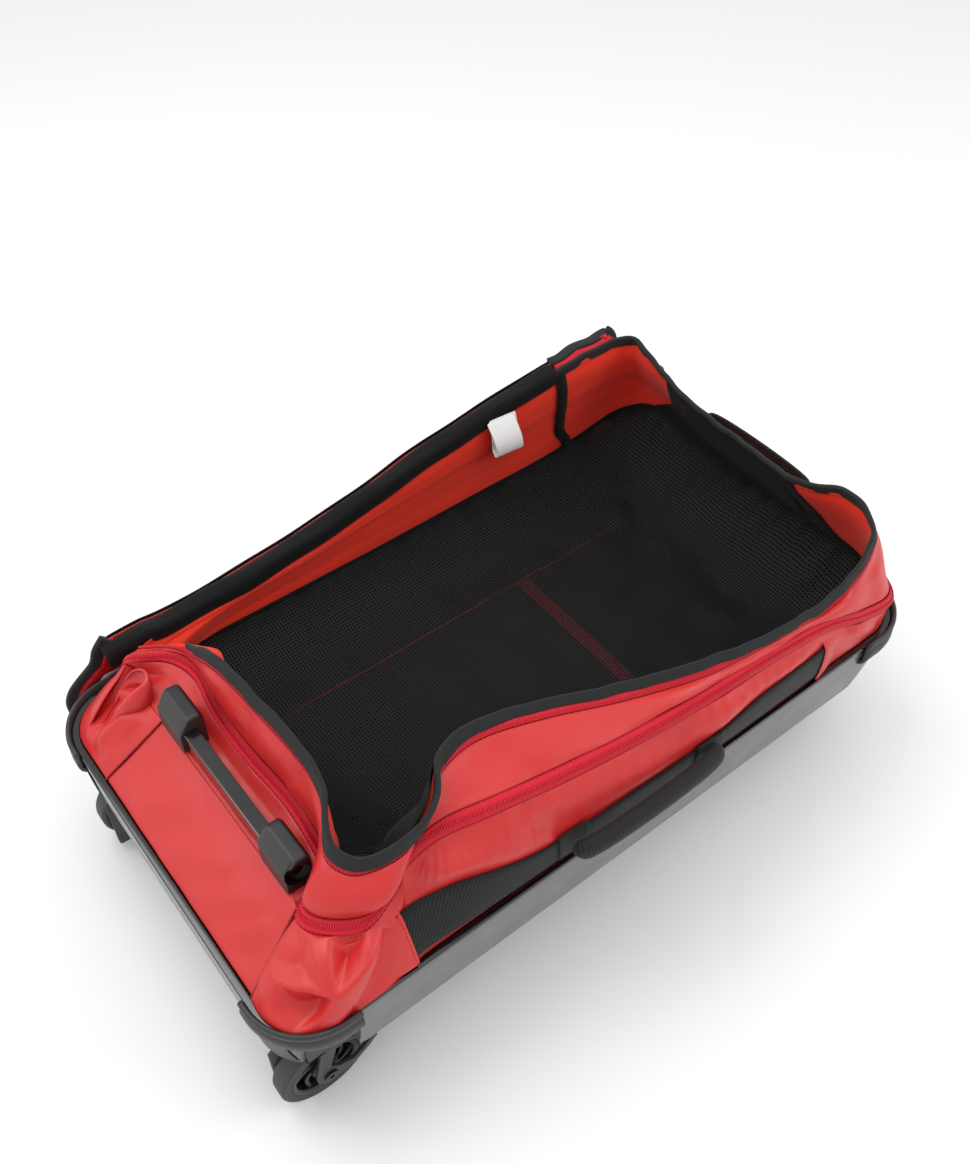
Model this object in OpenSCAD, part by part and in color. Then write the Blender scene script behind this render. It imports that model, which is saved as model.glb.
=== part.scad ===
// Rolling duffel bag: moulded base tray on two wheels, soft sides, a U-shaped lid that hangs open,
// and a telescopic trolley handle. The origin is on the floor under the middle of the tray.
// +X runs from the wheel end to the far end, +Y from the near side to the side of the lid's hinge.

/* [Base tray] */
// Length of the tray over its rim
tray_l = 747; // [700:1:780]
// Width of the tray over its rim
tray_w = 420; // [390:1:440]
// Height of the tray's rim above the floor
rim_z = 172; // [165:1:180]
// Height of the tray's flat bottom above the floor
belly_z = 12; // [10:1:16]
// Height at which the belly starts to turn under
turn_z = 70; // [60:1:80]
// Corner radius of the rim
rim_r = 55; // [40:1:60]
// Wall thickness of the tray
tray_t = 3; // [2:0.5:4]

/* [Wheels] */
// Radius of a wheel over its tyre
wheel_r = 44; // [40:1:46]
// Width of a wheel
wheel_w = 20; // [16:1:22]
// Distance from the tray's end to the wheel's axle
wheel_inset = 40; // [38:1:44]
// Distance from the middle of the bag to the middle of a wheel
wheel_y = 172; // [168:1:174]
// Radius of an axle
axle_r = 4; // [3:0.5:5]
// Radial running clearance of a bearing on its axle
run_gap = 0.05; // [0.02:0.01:0.08]

/* [Trolley handle] */
// Distance between the trolley tubes' middles
tube_pitch = 170; // [150:1:180]
// Width of an outer tube
tube_w = 26; // [24:1:28]
// Height of an outer tube
tube_h = 17; // [16:1:18]
// Wall thickness of the tubes
tube_t = 1.2; // [1:0.1:1.5]
// Sliding gap between two stages
tube_gap = 0.4; // [0.3:0.1:0.6]
// Height of the tubes' middle above the floor
tube_z = 34; // [32:1:38]

/* [Grab bar] */
// Length of one end block
block_l = 44; // [40:1:60]
// Gap between the two end blocks
bar_gap = 128; // [116:1:130]
// Height of an end block
block_h = 40; // [36:1:42]
// Depth of an end block
block_d = 26; // [24:1:28]

/* [Fabric] */
// Thickness of the coated fabric
cloth_t = 2; // [1.5:0.5:3]
// Width of a zip over both tapes
zip_w = 14; // [12:1:18]
// Radius of the rolled binding on the mouth
bind_r = 4; // [3:0.5:5]

/* [Lid] */
// Height of the lid's hinge line above the floor
hinge_z = 314; // [312:1:318]
// Depth of the hanging part of the lid
lid_drop = 300; // [290:1:302]
// Depth of the folded front part of the lid
front_drop = 105; // [95:1:110]

/* [Hidden] */

red = [0.83, 0.22, 0.2];
crimson = [0.8, 0.12, 0.2];
charcoal = [0.2, 0.21, 0.21];
shell_grey = [0.42, 0.42, 0.43];
plastic = [0.22, 0.22, 0.22];
steel = [0.7, 0.7, 0.72];

// Half sizes of the tray over its rim
half_l = tray_l / 2;
half_w = tray_w / 2;
wheel_x = -half_l + wheel_inset;

// ---- outlines -------------------------------------------------------------------------------

// Rounded rectangle, l long and w wide, with corners of radius r.
module rrect(l, w, r) {
    hull() for (x = [-1, 1], y = [-1, 1])
        translate([x * (l / 2 - r), y * (w / 2 - r)]) circle(r, $fn = 32);
}

// The same outline built from rectangles and circles, so that its sides stay true surfaces.
module plate(l, w, r) {
    square([l - 2 * r, w], center = true);
    square([l, w - 2 * r], center = true);
    for (x = [-1, 1], y = [-1, 1])
        translate([x * (l / 2 - r), y * (w / 2 - r)]) circle(r, $fn = 64);
}

// A ring that follows the rim: from the outline grown by out to the outline grown by in.
module rim_ring(out, in) {
    difference() {
        plate(tray_l + 2 * out, tray_w + 2 * out, rim_r + out);
        plate(tray_l + 2 * in, tray_w + 2 * in, rim_r + in);
    }
}

// ---- base tray ------------------------------------------------------------------------------

// Thickness of the rim trim, which sits on the tray's top edge
trim_h = 7;
tray_top = rim_z - trim_h / 2;

// The boat-shaped body of the tray, shrunk on all sides by inset.
module tray_body(inset) {
    hull() {
        translate([0, 0, tray_top]) linear_extrude(1) rrect(tray_l - 2 * inset, tray_w - 2 * inset, rim_r);
        translate([0, 0, turn_z]) linear_extrude(1)
            rrect(tray_l - 12 - 2 * inset, tray_w - 30 - 2 * inset, rim_r - 4);
        translate([8, 0, belly_z + inset]) linear_extrude(1)
            rrect(tray_l - 120 - 2 * inset, tray_w - 140 - 2 * inset, rim_r - 14);
    }
}

// Half width of the wheel well, and its inner side wall
well_r = wheel_r + 7;
well_y = wheel_y - wheel_w / 2 - 8;

// Height of a corner guard's lower edge and of its top, and the X at which the wheel end guards stop
guard_low = 146;
guard_high = rim_z + 9;
guard_x = -half_l + 68;
shelf_t = 3;

module wheel_well(s, grow) {
    // The corner above the wheel cover, which the housing's shelf closes
    translate([-half_l - 20, s > 0 ? cover_y - grow : -cover_y + grow - 60, -20])
        cube([guard_x + half_l + 20 + grow, 60, guard_low + shelf_t + 20.3 + grow]);
    translate([wheel_x, s * (well_y - grow), wheel_r]) rotate([-90 * s, 0, 0])
        cylinder(r = well_r + grow, h = 120, $fn = 64);
    translate([wheel_x - 100, s > 0 ? well_y - grow : -well_y + grow - 120, -20])
        cube([100 + well_r + grow, 120, wheel_r + 20]);
    translate([wheel_x - 100, s > 0 ? well_y - grow : -well_y + grow - 120, wheel_r - 1])
        cube([100, 120, well_r + grow + 1]);
}

bezel_w = 216;
bezel_top = 66;

module shell_tray() {
    color(shell_grey) difference() {
        tray_body(0);
        difference() {
            translate([0, 0, 0.01]) tray_body(tray_t);
            for (s = [-1, 1]) wheel_well(s, tray_t);
        }
        translate([0, 0, tray_top]) linear_extrude(10) plate(tray_l - 6, tray_w - 6, rim_r - 3);
        for (s = [-1, 1]) wheel_well(s, 0);
        translate([half_l - 70, -bezel_w / 2, 0]) cube([100, bezel_w, bezel_top]);
    }
}

module rim_trim() {
    color("black") translate([0, 0, tray_top + 1]) linear_extrude(trim_h) rim_ring(1.5, -6);
}

// Corner guard: a two-step ring around one corner of the tray.
module corner_ring(x, y, reach_x, reach_y) {
    intersection() {
        union() {
            translate([0, 0, guard_low]) linear_extrude(guard_high - guard_low) rim_ring(4.5, 1.6);
            translate([0, 0, guard_high - 3.9]) linear_extrude(3.9) rim_ring(4.5, -4);
        }
        translate([x > 0 ? half_l - reach_x : -half_l - 20, y > 0 ? half_w - reach_y : -half_w - 20, 0])
            cube([reach_x + 20, reach_y + 20, 400]);
    }
}

module corner_guard_right() { color(plastic) corner_ring(1, -1, 75, 62); }
module corner_guard_left() { color(plastic) corner_ring(1, 1, 75, 62); }

// ---- wheels ---------------------------------------------------------------------------------

wall_t = 4;
cover_y = wheel_y + wheel_w / 2 + 3;
inner_y = well_y + 0.3;
bearing_r = 9;
bearing_w = 6;
hub_r = 34;

// A disc on the wheel's axis between the distances y0 and y1 from the middle of the bag.
module wheel_disc(s, r, y0, y1) {
    translate([wheel_x, s * y0, wheel_r]) rotate([-90 * s, 0, 0]) cylinder(r = r, h = y1 - y0, $fn = 96);
}

deck_t = 3;
deck_z = wheel_r + well_r - 0.4 - deck_t;
end_x = -half_l + 2;
// The wall between the deck and the shelf starts here
wall_x = -half_l + 24;

// Inner side wall, mudguard, deck over the wheel, and the bumper around the corner above it
module wheel_housing(s) {
    color(plastic) difference() {
        union() {
            corner_ring(-1, s, 68, 62);
            intersection() {
                translate([0, 0, guard_low]) linear_extrude(shelf_t) plate(tray_l + 9, tray_w + 9, rim_r + 4.5);
                translate([-half_l - 20, s > 0 ? cover_y + 0.3 : -half_w - 20, 0])
                    cube([guard_x + half_l + 20, half_w + 20 - cover_y - 0.3, 400]);
            }
            translate([wall_x, s > 0 ? cover_y + 0.3 : -cover_y - wall_t, deck_z])
                cube([guard_x - wall_x, wall_t - 0.3, guard_low + shelf_t - deck_z]);
            intersection() {
                translate([0, 0, deck_z]) linear_extrude(deck_t) plate(tray_l + 4, tray_w + 4, rim_r + 2);
                translate([wheel_x - 18, s > 0 ? inner_y : -cover_y - wall_t, 0])
                    cube([18, cover_y + wall_t - inner_y, 400]);
            }
            intersection() {
                wheel_disc(s, well_r - 0.4, inner_y, inner_y + wall_t);
                translate([end_x, -300, 8]) cube([200, 600, 200]);
            }
            difference() {
                wheel_disc(s, well_r - 0.4, inner_y, cover_y);
                wheel_disc(s, well_r - 3.4, inner_y - 1, cover_y + 1);
                translate([wheel_x - 100, -300, -10]) cube([200, 600, wheel_r + 10]);
                translate([wheel_x - 100, -300, 0]) cube([100, 600, 200]);
            }
            wheel_disc(s, 8, inner_y + wall_t - 1, wheel_y - wheel_w / 2 - 0.5);
        }
        wheel_disc(s, axle_r, inner_y - 1, cover_y);
    }
}

module wheel_housing_right() { wheel_housing(-1); }
module wheel_housing_left() { wheel_housing(1); }

// Outer cover: a strut down to the axle, an arm back under the mudguard, and a window between.
cover_edge = [[-4, 47.4], [-13, 6], [-12, -6], [-6, -11], [0, -12], [14, -12], [27, -9], [41, 2],
    [50.5, 12], [46, 22], [37, 34], [23, 45], [12, 47.4]];
cover_window = [[10, 41], [2, 14], [10, 4], [25, -2], [36, 5], [43, 13], [39, 22], [30, 33], [20, 41]];

module wheel_cover(s) {
    color(plastic) difference() {
        union() {
            translate([wheel_x, s > 0 ? cover_y + wall_t : -cover_y, wheel_r]) rotate([90, 0, 0])
                linear_extrude(wall_t) difference() {
                    polygon(cover_edge);
                    polygon(cover_window);
                }
            wheel_disc(s, 8, wheel_y + wheel_w / 2 + 0.5, cover_y);
        }
        wheel_disc(s, axle_r, cover_y - 5, cover_y + wall_t + 1);
    }
}

module wheel_cover_right() { wheel_cover(-1); }
module wheel_cover_left() { wheel_cover(1); }

module axle(s) { color(steel) wheel_disc(s, axle_r, inner_y, cover_y + wall_t); }
module axle_right() { axle(-1); }
module axle_left() { axle(1); }

module axle_screws() {
    color(steel) for (s = [-1, 1]) difference() {
        wheel_disc(s, 6.5, cover_y + wall_t, cover_y + wall_t + 2.4);
        translate([wheel_x, s * (cover_y + wall_t + 1), wheel_r]) rotate([-90 * s, 0, 0])
            cylinder(r = 2.5, h = 3, $fn = 6);
    }
}

spokes = 5;

module hub(s) {
    color(plastic) difference() {
        union() {
            difference() {
                wheel_disc(s, hub_r, wheel_y - wheel_w / 2 + 1, wheel_y + wheel_w / 2 - 1);
                wheel_disc(s, hub_r - 5, wheel_y - wheel_w, wheel_y + wheel_w);
            }
            wheel_disc(s, 13, wheel_y - wheel_w / 2, wheel_y + wheel_w / 2);
            for (k = [0 : spokes - 1]) translate([wheel_x, s * wheel_y, wheel_r])
                rotate([0, k * 360 / spokes, 0]) translate([11, -wheel_w / 2 + 3, -3])
                    cube([hub_r - 14, wheel_w - 6, 6]);
        }
        wheel_disc(s, bearing_r, wheel_y - wheel_w, wheel_y - wheel_w / 2 + bearing_w);
        wheel_disc(s, bearing_r, wheel_y + wheel_w / 2 - bearing_w, wheel_y + wheel_w);
        wheel_disc(s, axle_r + 1.5, wheel_y - wheel_w, wheel_y + wheel_w);
    }
}
module hub_right() { hub(-1); }
module hub_left() { hub(1); }

module tyre(s) {
    color("dimgray") translate([wheel_x, s * wheel_y, wheel_r]) rotate([-90, 0, 0]) rotate_extrude($fn = 96)
        difference() {
            union() {
                translate([hub_r, -wheel_w / 2]) square([wheel_r - hub_r - 4, wheel_w]);
                translate([wheel_r - 5, -wheel_w / 2 + 4]) square([5, wheel_w - 8]);
                for (y = [-1, 1]) translate([wheel_r - 4, y * (wheel_w / 2 - 4)]) circle(4, $fn = 48);
            }
            translate([0, -wheel_w]) square([hub_r, 2 * wheel_w]);
        }
}
module tyre_right() { tyre(-1); }
module tyre_left() { tyre(1); }

module bearings(s) {
    color(steel) for (side = [0, 1]) difference() {
        wheel_disc(s, bearing_r, wheel_y - wheel_w / 2 + side * (wheel_w - bearing_w),
            wheel_y - wheel_w / 2 + side * (wheel_w - bearing_w) + bearing_w);
        wheel_disc(s, axle_r + run_gap, wheel_y - wheel_w, wheel_y + wheel_w);
    }
}
module bearings_right() { bearings(-1); }
module bearings_left() { bearings(1); }

// ---- feet -----------------------------------------------------------------------------------

foot_x = half_l - 105;
foot_y = 120;

module floor_feet() {
    color([0.15, 0.15, 0.15]) for (s = [-1, 1]) difference() {
        translate([foot_x, s * foot_y, 0]) linear_extrude(belly_z) plate(56, 30, 14);
        translate([foot_x, s * foot_y, -1]) cylinder(r = 6.5, h = 6, $fn = 48);
    }
}

module foot_screws() {
    color(steel) for (s = [-1, 1]) translate([foot_x, s * foot_y, 2]) difference() {
        cylinder(r = 6, h = 3, $fn = 48);
        translate([0, 0, -1]) cylinder(r = 2.4, h = 2.5, $fn = 6);
    }
}

// ---- grab bar -------------------------------------------------------------------------------

block_x = -308;
bar_y = -11;
ledge_z = 228;
bar_x = block_x + 4;
bar_d = 13;
bar_z = ledge_z + 10;
bar_h = 16;

// One end block: a chamfered body whose outer end holds a round recess.
module bar_block(s) {
    out = bar_gap / 2 + block_l;
    color(plastic) translate([0, bar_y, 0]) difference() {
        translate([block_x, 0, ledge_z]) rotate([90, 0, 0])
            translate([0, 0, s > 0 ? -out : bar_gap / 2]) linear_extrude(block_l)
                polygon([[0, 0], [block_d, 0], [block_d, block_h - 6], [block_d - 6, block_h],
                    [9, block_h], [0, block_h - 12]]);
        translate([block_x + block_d / 2, s * (out - 8), ledge_z + block_h / 2]) rotate([-90 * s, 0, 0])
            cylinder(r = 11, h = 10, $fn = 64);
        translate([block_x + block_d / 2, s * (out - 20), ledge_z + block_h / 2]) rotate([-90 * s, 0, 0])
            cylinder(r = 3, h = 20, $fn = 48);
        translate([bar_x, s > 0 ? bar_gap / 2 - 1 : -bar_gap / 2 - 12, bar_z])
            cube([bar_d, 13, bar_h]);
    }
}
module bar_block_right() { bar_block(-1); }
module bar_block_left() { bar_block(1); }

module grab_bar() {
    color("black") translate([bar_x, bar_y - bar_gap / 2 - 12, bar_z])
        cube([bar_d, bar_gap + 24, bar_h]);
}

module bar_screws() {
    out = bar_gap / 2 + block_l;
    color(steel) for (s = [-1, 1])
        translate([block_x + block_d / 2, bar_y, ledge_z + block_h / 2]) rotate([-90 * s, 0, 0]) {
            translate([0, 0, out - 20]) cylinder(r = 3, h = 12, $fn = 48);
            difference() {
                translate([0, 0, out - 8]) cylinder(r = 6.5, h = 3, $fn = 48);
                translate([0, 0, out - 6.5]) cylinder(r = 2.5, h = 3, $fn = 6);
            }
        }
}

module bar_backing_plate() {
    color(steel) translate([block_x + 6, bar_y - bar_gap / 2 - block_l + 6, ledge_z - cloth_t - 3.5])
        cube([30, bar_gap + 2 * block_l - 12, 3]);
}

// ---- trolley handle -------------------------------------------------------------------------

outer_x0 = -285;
outer_x1 = half_l - 62;
stage_travel = 250;
mid_l = 540;
inner_l = 500;
mid_x1 = outer_x1 + 2;
inner_x1 = half_l - 48;
grip_x1 = half_l - 24;

// Rectangular tube along X, from x0 to x1, stepped in from the outer tube by inset.
module tube(s, x0, x1, inset) {
    w = tube_w - 2 * inset;
    h = tube_h - 2 * inset;
    translate([x0, s * tube_pitch / 2, tube_z]) rotate([90, 0, 90]) linear_extrude(x1 - x0) difference() {
        plate(w, h, 2);
        plate(w - 2 * tube_t, h - 2 * tube_t, 1.2);
    }
}

step = tube_t + tube_gap;

module outer_tube_right() { color(steel) tube(-1, outer_x0, outer_x1, 0); }
module outer_tube_left() { color(steel) tube(1, outer_x0, outer_x1, 0); }
module mid_tube_right() { color(steel) tube(-1, mid_x1 - mid_l, mid_x1, step); }
module mid_tube_left() { color(steel) tube(1, mid_x1 - mid_l, mid_x1, step); }
module inner_tube_right() { color(steel) tube(-1, inner_x1 - inner_l, inner_x1, 2 * step); }
module inner_tube_left() { color(steel) tube(1, inner_x1 - inner_l, inner_x1, 2 * step); }

// Top of the tray's floor, with a hair of clearance
floor_z = belly_z + tray_t + 0.05;

module tube_bracket() {
    color(plastic) difference() {
        translate([outer_x0 - 6, -tube_pitch / 2 - 22, floor_z])
            cube([26, tube_pitch + 44, tube_z + tube_h / 2 + 3 - floor_z]);
        for (s = [-1, 1]) translate([outer_x0, s * tube_pitch / 2 - tube_w / 2, tube_z - tube_h / 2])
            cube([30, tube_w, tube_h]);
    }
}

grip_h = 24;
grip_w = 190;
dock_x = inner_x1 - 4;

// Moulded pocket in the far end: it holds the outer tubes' ends and the stowed grip.
module trolley_bezel() {
    color(plastic) difference() {
        intersection() {
            translate([half_l - 69.7, -bezel_w / 2 + 0.3, belly_z])
                cube([80, bezel_w - 0.6, bezel_top - belly_z - 0.3]);
            translate([0, 0, 0.5]) tray_body(0.5);
        }
        translate([dock_x, -grip_w / 2 - 6, tube_z - grip_h / 2 - 3])
            cube([60, grip_w + 12, grip_h + 15]);
        for (s = [-1, 1]) translate([half_l - 80, s * tube_pitch / 2 - tube_w / 2, tube_z - tube_h / 2])
            cube([100, tube_w, tube_h]);
    }
}

module trolley_screws() {
    color(steel) for (s = [-1, 1]) {
        translate([outer_x0 + 7, s * (tube_pitch / 2 - 22), tube_z + tube_h / 2 + 3])
            cylinder(r = 4, h = 2.5, $fn = 48);
        translate([half_l - 61, s * (tube_pitch / 2 + 14), bezel_top - 0.3])
            cylinder(r = 4, h = 2.5, $fn = 48);
    }
}

button_w = 34;

module trolley_grip() {
    color(plastic) difference() {
        translate([inner_x1, 0, tube_z]) rotate([90, 0, 90]) linear_extrude(grip_x1 - inner_x1)
            plate(grip_w, grip_h, 8);
        translate([grip_x1 - 9, -button_w / 2 - 0.4, tube_z - 6.4]) cube([20, button_w + 0.8, 12.8]);
        translate([inner_x1 - 1, -tube_pitch / 2 + 26, tube_z - 6]) cube([7, tube_pitch - 52, 12]);
    }
}

button_x = grip_x1 - 5;

module grip_button() {
    color("black") difference() {
        translate([button_x, 0, tube_z]) rotate([90, 0, 90]) linear_extrude(7) plate(button_w, 12, 4);
        translate([button_x - 1, 0, tube_z]) rotate([0, 90, 0]) cylinder(r = 4.5, h = 5.5, $fn = 48);
    }
}

module button_spring() {
    color(steel) translate([grip_x1 - 9, 0, tube_z]) rotate([0, 90, 0]) difference() {
        cylinder(r = 4, h = 4.8, $fn = 48);
        translate([0, 0, -1]) cylinder(r = 3, h = 7, $fn = 48);
    }
}

// ---- fabric rings ---------------------------------------------------------------------------

// Stations run around the bag from the hinge-side shoulder of the wheel end, along the wheel end,
// the near side and the far end, and back along the hinge side.
base_xy = [
    [-366, 165], [-368, 140], [-368, 108], [-368, 65], [-368, 15], [-368, -45], [-368, -85],
    [-368, -118], [-368, -150], [-356, -184], [-322, -205], [-285, -205], [-250, -205], [-210, -205],
    [-155, -205], [-85, -205], [0, -205], [80, -205], [160, -205], [235, -205], [300, -205],
    [350, -188], [368, -145], [368, -80], [368, 0], [368, 80], [368, 150], [345, 192],
    [240, 205], [120, 205], [0, 205], [-110, 205], [-220, 205], [-330, 200]
];
zip_xyz = [
    [-297, 175, 236], [-268, 151, 240], [-257, 117, 242], [-264, 70, 242], [-266, 15, 242],
    [-262, -45, 240], [-264, -85, 238], [-272, -117, 236], [-306, -133, 228], [-301, -157, 230],
    [-272, -179, 236], [-238, -170, 244], [-220, -162, 256], [-190, -163, 266], [-145, -174, 270],
    [-80, -183, 265], [0, -190, 258], [80, -195, 255], [160, -198, 254], [230, -201, 247],
    [292, -203, 222], [345, -196, 208], [366, -150, 210], [366, -80, 218], [366, 0, 222],
    [366, 80, 226], [366, 150, 232], [348, 200, 238], [240, 207, 232], [120, 207, 224],
    [0, 207, 214], [-110, 207, 204], [-220, 206, 197], [-288, 198, 200]
];
mouth_xyz = [
    [-276, 186, 232], [-262, 165, 243], [-256, 138, 264], [-251, 78, 296], [-246, 8, 300],
    [-244, -50, 300], [-248, -88, 298], [-262, -112, 292], [-269, -136, 287], [-258, -157, 284],
    [-230, -164, 285], [-205, -162, 288], [-182, -150, 293], [-158, -124, 299], [-118, -115, 299],
    [-60, -128, 294], [10, -152, 287], [88, -173, 280], [165, -187, 275], [240, -188, 272],
    [297, -180, 284], [328, -158, 297], [338, -118, 299], [318, -75, 292], [326, 5, 283],
    [325, 90, 289], [336, 155, 297], [336, 200, 300], [240, 206, 294], [120, 206, 278],
    [0, 206, 253], [-110, 206, 232], [-220, 206, 222], [-262, 202, 222]
];
stations = len(base_xy);
// Points put between two stations
per = 3;
count = stations * per;
base_z = rim_z + 4.6;

function mix(a, b, t) = a * (1 - t) + b * t;
function unit(v) = v / max(norm(v), 0.0001);

// Catmull-Rom curve through p1 and p2
function curve(p0, p1, p2, p3, t) =
    0.5 * (2 * p1 + (p2 - p0) * t + (2 * p0 - 5 * p1 + 4 * p2 - p3) * t * t
        + (3 * p1 - p0 - 3 * p2 + p3) * t * t * t);

// Closed smooth ring through the points of a list
function ring(list) = [
    for (i = [0 : len(list) - 1], j = [0 : per - 1]) let (n = len(list))
        curve(list[(i + n - 1) % n], list[i], list[(i + 1) % n], list[(i + 2) % n], j / per)
];

// Moves a point straight out to the rounded rectangle on which the fabric stands.
function clamp(v, lim) = max(-lim, min(lim, v));
function to_base(p) = let (
        r = rim_r - 6,
        c = [clamp(p[0], half_l - 6 - r), clamp(p[1], half_w - 6 - r)],
        q = c + r * unit([p[0] - c[0], p[1] - c[1]])
    ) [q[0], q[1], base_z];

base_ring = [for (p = ring(base_xy)) to_base(p)];
zip_ring = ring(zip_xyz);
mouth_ring = ring(mouth_xyz);
// Middle of the lower gusset, which bellies out a little
belly_ring = [for (i = [0 : count - 1]) let (m = mix(base_ring[i], zip_ring[i], 0.5),
    o = unit([m[0] / half_l, m[1] / half_w, 0])) m + [2 * o[0], 2 * o[1], 0]];
zip_low = [for (i = [0 : count - 1]) zip_ring[i] + zip_w / 2 * unit(belly_ring[i] - zip_ring[i])];
zip_high = [for (i = [0 : count - 1]) zip_ring[i] + min(zip_w / 2, norm(mouth_ring[i] - zip_ring[i]) / 4)
    * unit(mouth_ring[i] - zip_ring[i])];
tape_low = [for (i = [0 : count - 1]) mix(mouth_ring[i], zip_high[i],
    min(0.45, 14 / norm(mouth_ring[i] - zip_high[i])))];
tape_high = [for (i = [0 : count - 1]) mix(mouth_ring[i], zip_high[i],
    min(0.34, (bind_r + 3.5) / norm(mouth_ring[i] - zip_high[i])))];

// Solid sheet of thickness t on the inner side of a grid of points: rows go up, and each row
// follows the ring. A closed sheet joins its last column to its first.
module sheet(rows, t, closed = true) {
    m = len(rows);
    n = len(rows[0]);
    skin = [for (i = [0 : m - 1], j = [0 : n - 1]) rows[i][j]];
    back = [for (i = [0 : m - 1], j = [0 : n - 1]) let (
            a = rows[i][closed ? (j + n - 1) % n : max(j - 1, 0)],
            b = rows[i][closed ? (j + 1) % n : min(j + 1, n - 1)],
            c = rows[max(i - 1, 0)][j],
            d = rows[min(i + 1, m - 1)][j]
        ) rows[i][j] + t * unit(cross(d - c, b - a))];
    cols = closed ? n - 1 : n - 2;
    k = m * n;
    function at(i, j) = i * n + j % n;
    front_faces = [for (i = [0 : m - 2], j = [0 : cols], h = [0, 1]) h == 0
        ? [at(i, j), at(i, j + 1), at(i + 1, j + 1)]
        : [at(i, j), at(i + 1, j + 1), at(i + 1, j)]];
    back_faces = [for (f = front_faces) [f[0] + k, f[2] + k, f[1] + k]];
    low_faces = [for (j = [0 : cols], h = [0, 1]) h == 0
        ? [at(0, j), at(0, j) + k, at(0, j + 1) + k]
        : [at(0, j), at(0, j + 1) + k, at(0, j + 1)]];
    high_faces = [for (j = [0 : cols], h = [0, 1]) h == 0
        ? [at(m - 1, j), at(m - 1, j + 1) + k, at(m - 1, j) + k]
        : [at(m - 1, j), at(m - 1, j + 1), at(m - 1, j + 1) + k]];
    first_faces = closed ? [] : [for (i = [0 : m - 2], h = [0, 1]) h == 0
        ? [at(i, 0), at(i + 1, 0) + k, at(i, 0) + k]
        : [at(i, 0), at(i + 1, 0), at(i + 1, 0) + k]];
    last_faces = closed ? [] : [for (i = [0 : m - 2], h = [0, 1]) h == 0
        ? [at(i, n - 1), at(i, n - 1) + k, at(i + 1, n - 1) + k]
        : [at(i, n - 1), at(i + 1, n - 1) + k, at(i + 1, n - 1)]];
    polyhedron(concat(skin, back),
        concat(front_faces, back_faces, low_faces, high_faces, first_faces, last_faces));
}

// Round tube of radius r that follows a list of points, closed into a loop or capped at its ends.
module sweep(path, r, closed = false, sides = 8) {
    n = len(path);
    rings = [for (i = [0 : n - 1]) let (
            a = path[closed ? (i + n - 1) % n : max(i - 1, 0)],
            b = path[closed ? (i + 1) % n : min(i + 1, n - 1)],
            d = unit(b - a),
            u = unit(cross(d, abs(d[2]) > 0.9 ? [1, 0, 0] : [0, 0, 1])),
            v = cross(u, d)
        ) each [for (k = [0 : sides - 1])
            path[i] + r * (cos(k * 360 / sides) * u + sin(k * 360 / sides) * v)]];
    function at(i, k) = (i % n) * sides + k % sides;
    walls = [for (i = [0 : n - (closed ? 1 : 2)], k = [0 : sides - 1], h = [0, 1]) h == 0
        ? [at(i, k), at(i, k + 1), at(i + 1, k + 1)]
        : [at(i, k), at(i + 1, k + 1), at(i + 1, k)]];
    caps = closed ? []
        : [[for (k = [sides - 1 : -1 : 0]) at(0, k)], [for (k = [0 : sides - 1]) at(n - 1, k)]];
    polyhedron(rings, concat(walls, caps));
}

// The part of a ring from station a to station b, which may run past the last station.
function part(list, a, b) = [for (i = [a * per : b * per]) list[i % count]];

seam_a = 8;
seam_b = stations;

module lower_gusset() {
    color(red) sheet([part(base_ring, seam_a, seam_b), part(belly_ring, seam_a, seam_b),
        part(zip_low, seam_a, seam_b)], cloth_t, false);
}

panel_top_x = block_x + 1;

module end_panel() {
    low = [[-367, -149], [-367, 110]];
    high = [[panel_top_x, -121], [panel_top_x, 97]];
    color(red) sheet([
        [for (k = [0 : 6]) let (p = mix(low[1], low[0], k / 6)) [p[0], p[1], base_z + 2.6]],
        [for (k = [0 : 6]) let (p = mix(high[1], high[0], k / 6)) [p[0], p[1], ledge_z - 0.2]]
    ], cloth_t + 1, false);
}

// The flap starts just behind the end panel's top edge and lies flat under the end blocks.
flap_x = panel_top_x + 2.4;
flap_back_x = block_x + block_d + 3;

module end_flap() {
    edge_y = [165, 135, 117, 65, 15, -45, -85, -112];
    flat_z = ledge_z - 0.1;
    top = [for (k = [0 : 7]) zip_low[k * per]];
    rise = [for (k = [0 : 7]) k == 0
        ? mix([flap_x + 4, edge_y[0], flat_z], top[0], 0.5)
        : [flap_back_x, edge_y[k], flat_z]];
    color(red) sheet([
        [for (k = [0 : 7]) [flap_x + (k == 0 ? 4 : 0), edge_y[k], flat_z]],
        rise,
        [for (k = [0 : 7]) top[k] + 1.6 * unit(rise[k] - top[k])]
    ], cloth_t, false);
}

module expander_zip() { color(crimson) sheet([zip_low, zip_ring, zip_high], cloth_t + 0.6); }

module upper_band() {
    low = [for (i = [0 : count - 1]) zip_high[i] + 1.6 * unit(tape_low[i] - zip_high[i])];
    middle = [for (i = [0 : count - 1]) mix(zip_high[i], tape_low[i], 0.5)];
    color(red) sheet([low, middle, tape_low], cloth_t);
}

module main_zip() { color(crimson) sheet([tape_low, tape_high], cloth_t + 0.4); }

module rim_binding() { color(charcoal) sweep(mouth_ring, bind_r, true); }

// ---- trims on the near side -----------------------------------------------------------------

web_x0 = -246;
web_x1 = 226;
web_h = 50;

module side_webbing() {
    color([0.12, 0.12, 0.12]) translate([web_x0, -half_w - 1.2, rim_z + 6])
        cube([web_x1 - web_x0, 1.6, web_h - 6]);
}

module fabric_patches() {
    color(red) for (x = [web_x0 - 20, web_x1])
        translate([x, -half_w - 1.2, rim_z + 6]) cube([20, 1.6, web_h - 6]);
}

// ---- inside ---------------------------------------------------------------------------------

liner_z = bezel_top + 5;

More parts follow.
